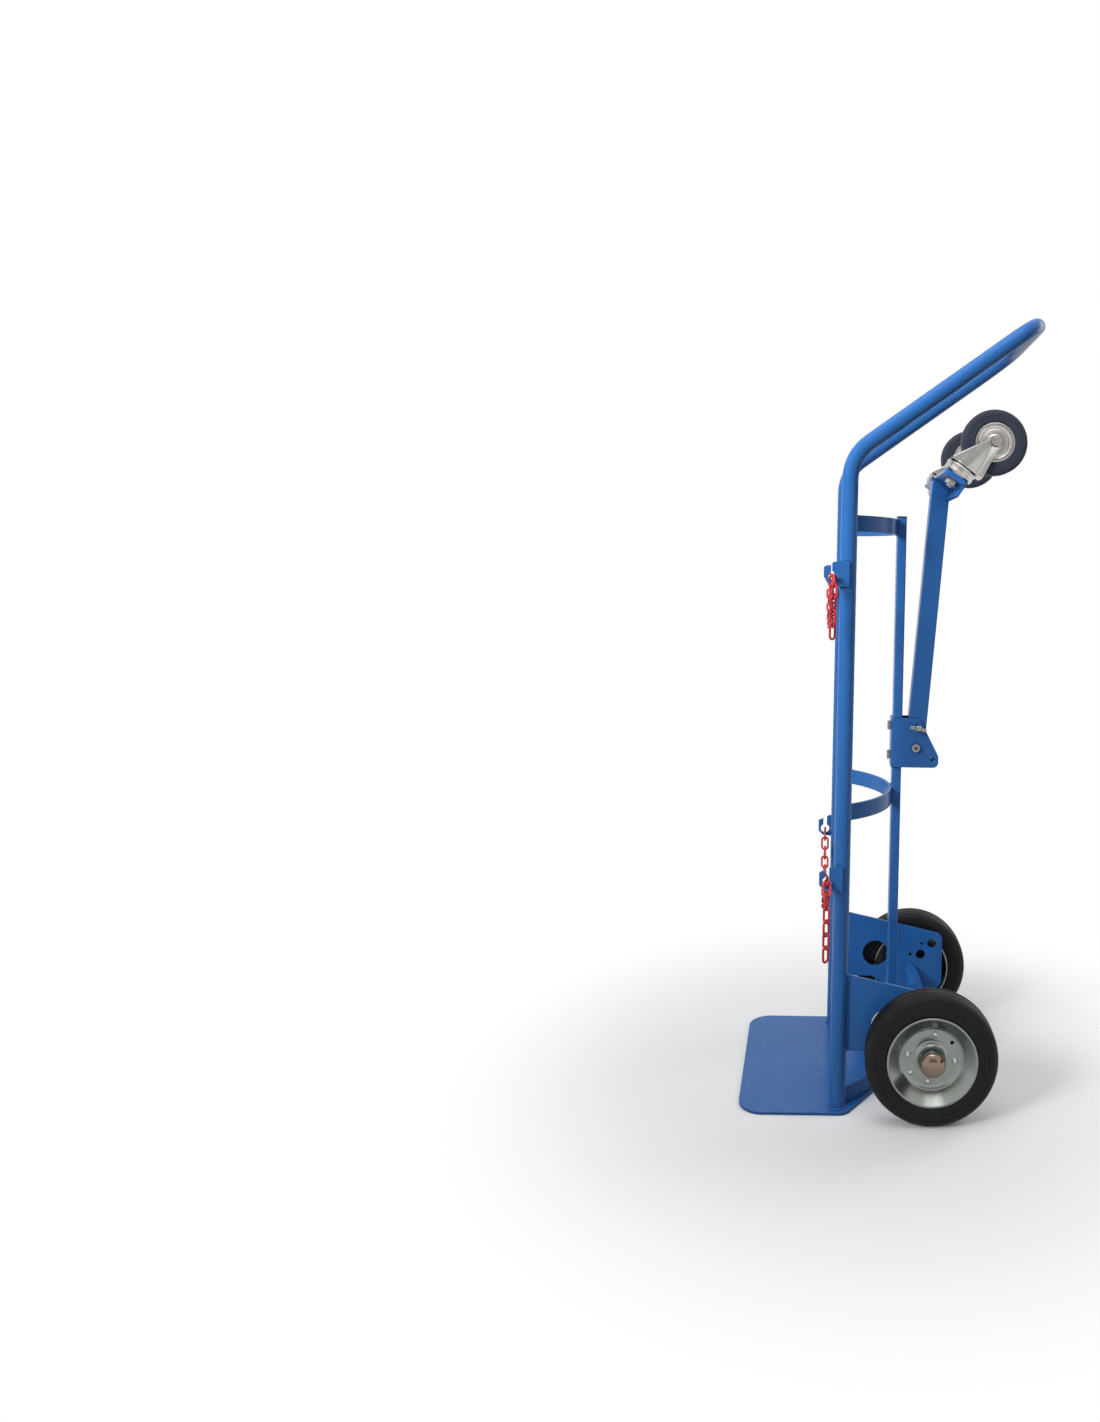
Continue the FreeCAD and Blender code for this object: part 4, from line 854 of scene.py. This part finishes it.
def ripple(place, size):
    """One ripple of a bead."""
    begin()
    bpy.ops.mesh.primitive_uv_sphere_add(segments=10, ring_count=6, radius=size * MM,
                                         location=place)
    made = bpy.context.object
    bpy.ops.object.transform_apply(location=True)
    return made


def seam(start, end, size=RIPPLE):
    """A straight bead from one point to another."""
    made = ripple(start, size)
    run = end - start
    count = max(2, round(run.length / (RIPPLE_STEP * MM)) + 1)
    row = made.modifiers.new("row", "ARRAY")
    row.count = count
    row.use_relative_offset = False
    row.use_constant_offset = True
    row.constant_offset_displace = run / (count - 1)
    bpy.ops.object.modifier_apply(modifier="row")
    return made


def seam_ring(centre, axis, radius):
    """A bead round a tube."""
    axis = Vector(axis)
    made = ripple(centre + axis.orthogonal().normalized() * radius * MM, RIPPLE)
    count = round(2 * math.pi * radius / RIPPLE_STEP)
    bpy.ops.object.mode_set(mode="EDIT")
    bpy.ops.mesh.select_all(action="SELECT")
    bpy.ops.mesh.spin(steps=count, dupli=True, angle=2 * math.pi, center=centre, axis=axis)
    bpy.ops.mesh.select_all(action="SELECT")
    bpy.ops.mesh.remove_doubles(threshold=0.00001)
    begin()
    return made


def roughen(made):
    """Make the ripples uneven."""
    uneven = made.modifiers.new("uneven", "DISPLACE")
    uneven.texture = noise
    uneven.texture_coords = "GLOBAL"
    uneven.strength = UNEVEN * MM
    bpy.ops.object.modifier_apply(modifier="uneven")
    return made


print("weld helpers ready")

# %% Frame welds
TUBE = 12.5
UPRIGHT_X, UPRIGHT_Y, TOE_TOP = 47.0, 145.0, 4.0
POST_X, POST_HALF_DEEP, POST_HALF_WIDE = 138.0, 7.5, 15.0
HOOP_HALF, HOOP_THICK = 12.5, 4.0
HOOP_LEVELS = [middle_of(name).z / MM for name in ("hoop_top", "hoop_middle", "hoop_base")]
AXLE_X, AXLE_Z, PLATE_HALF = 186.0, 100.0, 2.0
PLATE_LOW, PLATE_HIGH = 93.0, 207.0
EYE_LEVELS, EYE_REAR, EYE_LOW, EYE_HIGH = (818.0, 356.0), 49.3, 12.0, 21.0
EYE_RIPPLE = RIPPLE * 0.8
FOOT_OFF, SEAM_OFF, EYE_OFF, POST_OFF = 0.5, 0.4, 0.3, 0.2
HOOP_END = 1.0


def at(x, y, z):
    """A point given in millimetres."""
    return Vector((x, y, z)) * MM


def upright_seam(x, y, low, high, size=RIPPLE):
    """A bead that runs straight up."""
    return seam(at(x, y, low), at(x, y, high), size)


post_front, post_rear = POST_X - POST_HALF_DEEP, POST_X + POST_HALF_DEEP
hoop_deep = post_front - UPRIGHT_X
hoop_radius = (UPRIGHT_Y ** 2 + hoop_deep ** 2) / (hoop_deep * 2)
out = Vector((hoop_radius - hoop_deep, UPRIGHT_Y)) / hoop_radius
along_hoop = Vector((out.y, -out.x)) * (TUBE + SEAM_OFF)
hoop_faces = [Vector((UPRIGHT_X, UPRIGHT_Y)) + along_hoop + out * depth
              for depth in (SEAM_OFF, -HOOP_THICK - SEAM_OFF)]
beads = {"foot": [], "hoop": [], "plate": [], "eye": []}
for sign in SIDES.values():
    foot = at(UPRIGHT_X, UPRIGHT_Y * sign, TOE_TOP)
    beads["foot"].append(seam_ring(foot, (0, 0, 1), TUBE + FOOT_OFF))
    y = POST_HALF_WIDE * sign
    beads["foot"].append(seam(at(post_front, y, TOE_TOP), at(post_rear, y, TOE_TOP)))
    for level in HOOP_LEVELS:
        low, high = level - HOOP_HALF + HOOP_END, level + HOOP_HALF - HOOP_END
        for spot in hoop_faces:
            beads["hoop"].append(upright_seam(spot.x, spot.y * sign, low, high))
        y = (POST_HALF_WIDE + POST_OFF) * sign
        beads["hoop"].append(upright_seam(post_front - POST_OFF, y, low, high))
    for face in (-PLATE_HALF, PLATE_HALF):
        y = (UPRIGHT_Y + face) * sign
        beads["plate"].append(upright_seam(UPRIGHT_X + TUBE + SEAM_OFF, y, PLATE_LOW, PLATE_HIGH))
    sleeve_end = at(AXLE_X, (UPRIGHT_Y - PLATE_HALF) * sign, AXLE_Z)
    beads["plate"].append(seam_ring(sleeve_end, (0, 1, 0), TUBE + SEAM_OFF))
    for level in EYE_LEVELS:
        y = (UPRIGHT_Y + TUBE + EYE_OFF) * sign
        beads["eye"].append(upright_seam(EYE_REAR, y, level - EYE_LOW, level + EYE_HIGH, EYE_RIPPLE))
for place, rows in beads.items():
    settle(roughen(join(rows)), f"weld_{place}_beads", "frame", "blue_paint")

# %% Leg welds
LEG_HALF, LEG_LEAN = 15.0, math.radians(4.3)
HINGE = at(168.0, 0, 538.0)
BEAM_HALF_THICK = 4.0
leg_up = Vector((math.sin(LEG_LEAN), 0, math.cos(LEG_LEAN)))
leg_back = Vector((math.cos(LEG_LEAN), 0, -math.sin(LEG_LEAN)))


def leg_end(across, y):
    """Where a line up the leg meets the underside of the beam."""
    foot = HINGE + leg_back * across * MM + Vector((0, y * MM, 0))
    gap = (stands["left"] - foot).dot(swivel_axis) - BEAM_HALF_THICK * MM
    return foot + leg_up * (gap / leg_up.dot(swivel_axis))


rows = []
for end in (-LEG_HALF, LEG_HALF):
    rows.append(seam(leg_end(end, -LEG_HALF), leg_end(end, LEG_HALF)))
    rows.append(seam(leg_end(-LEG_HALF, end), leg_end(LEG_HALF, end)))
settle(roughen(join(rows)), "weld_leg_beads", "support", "blue_paint")
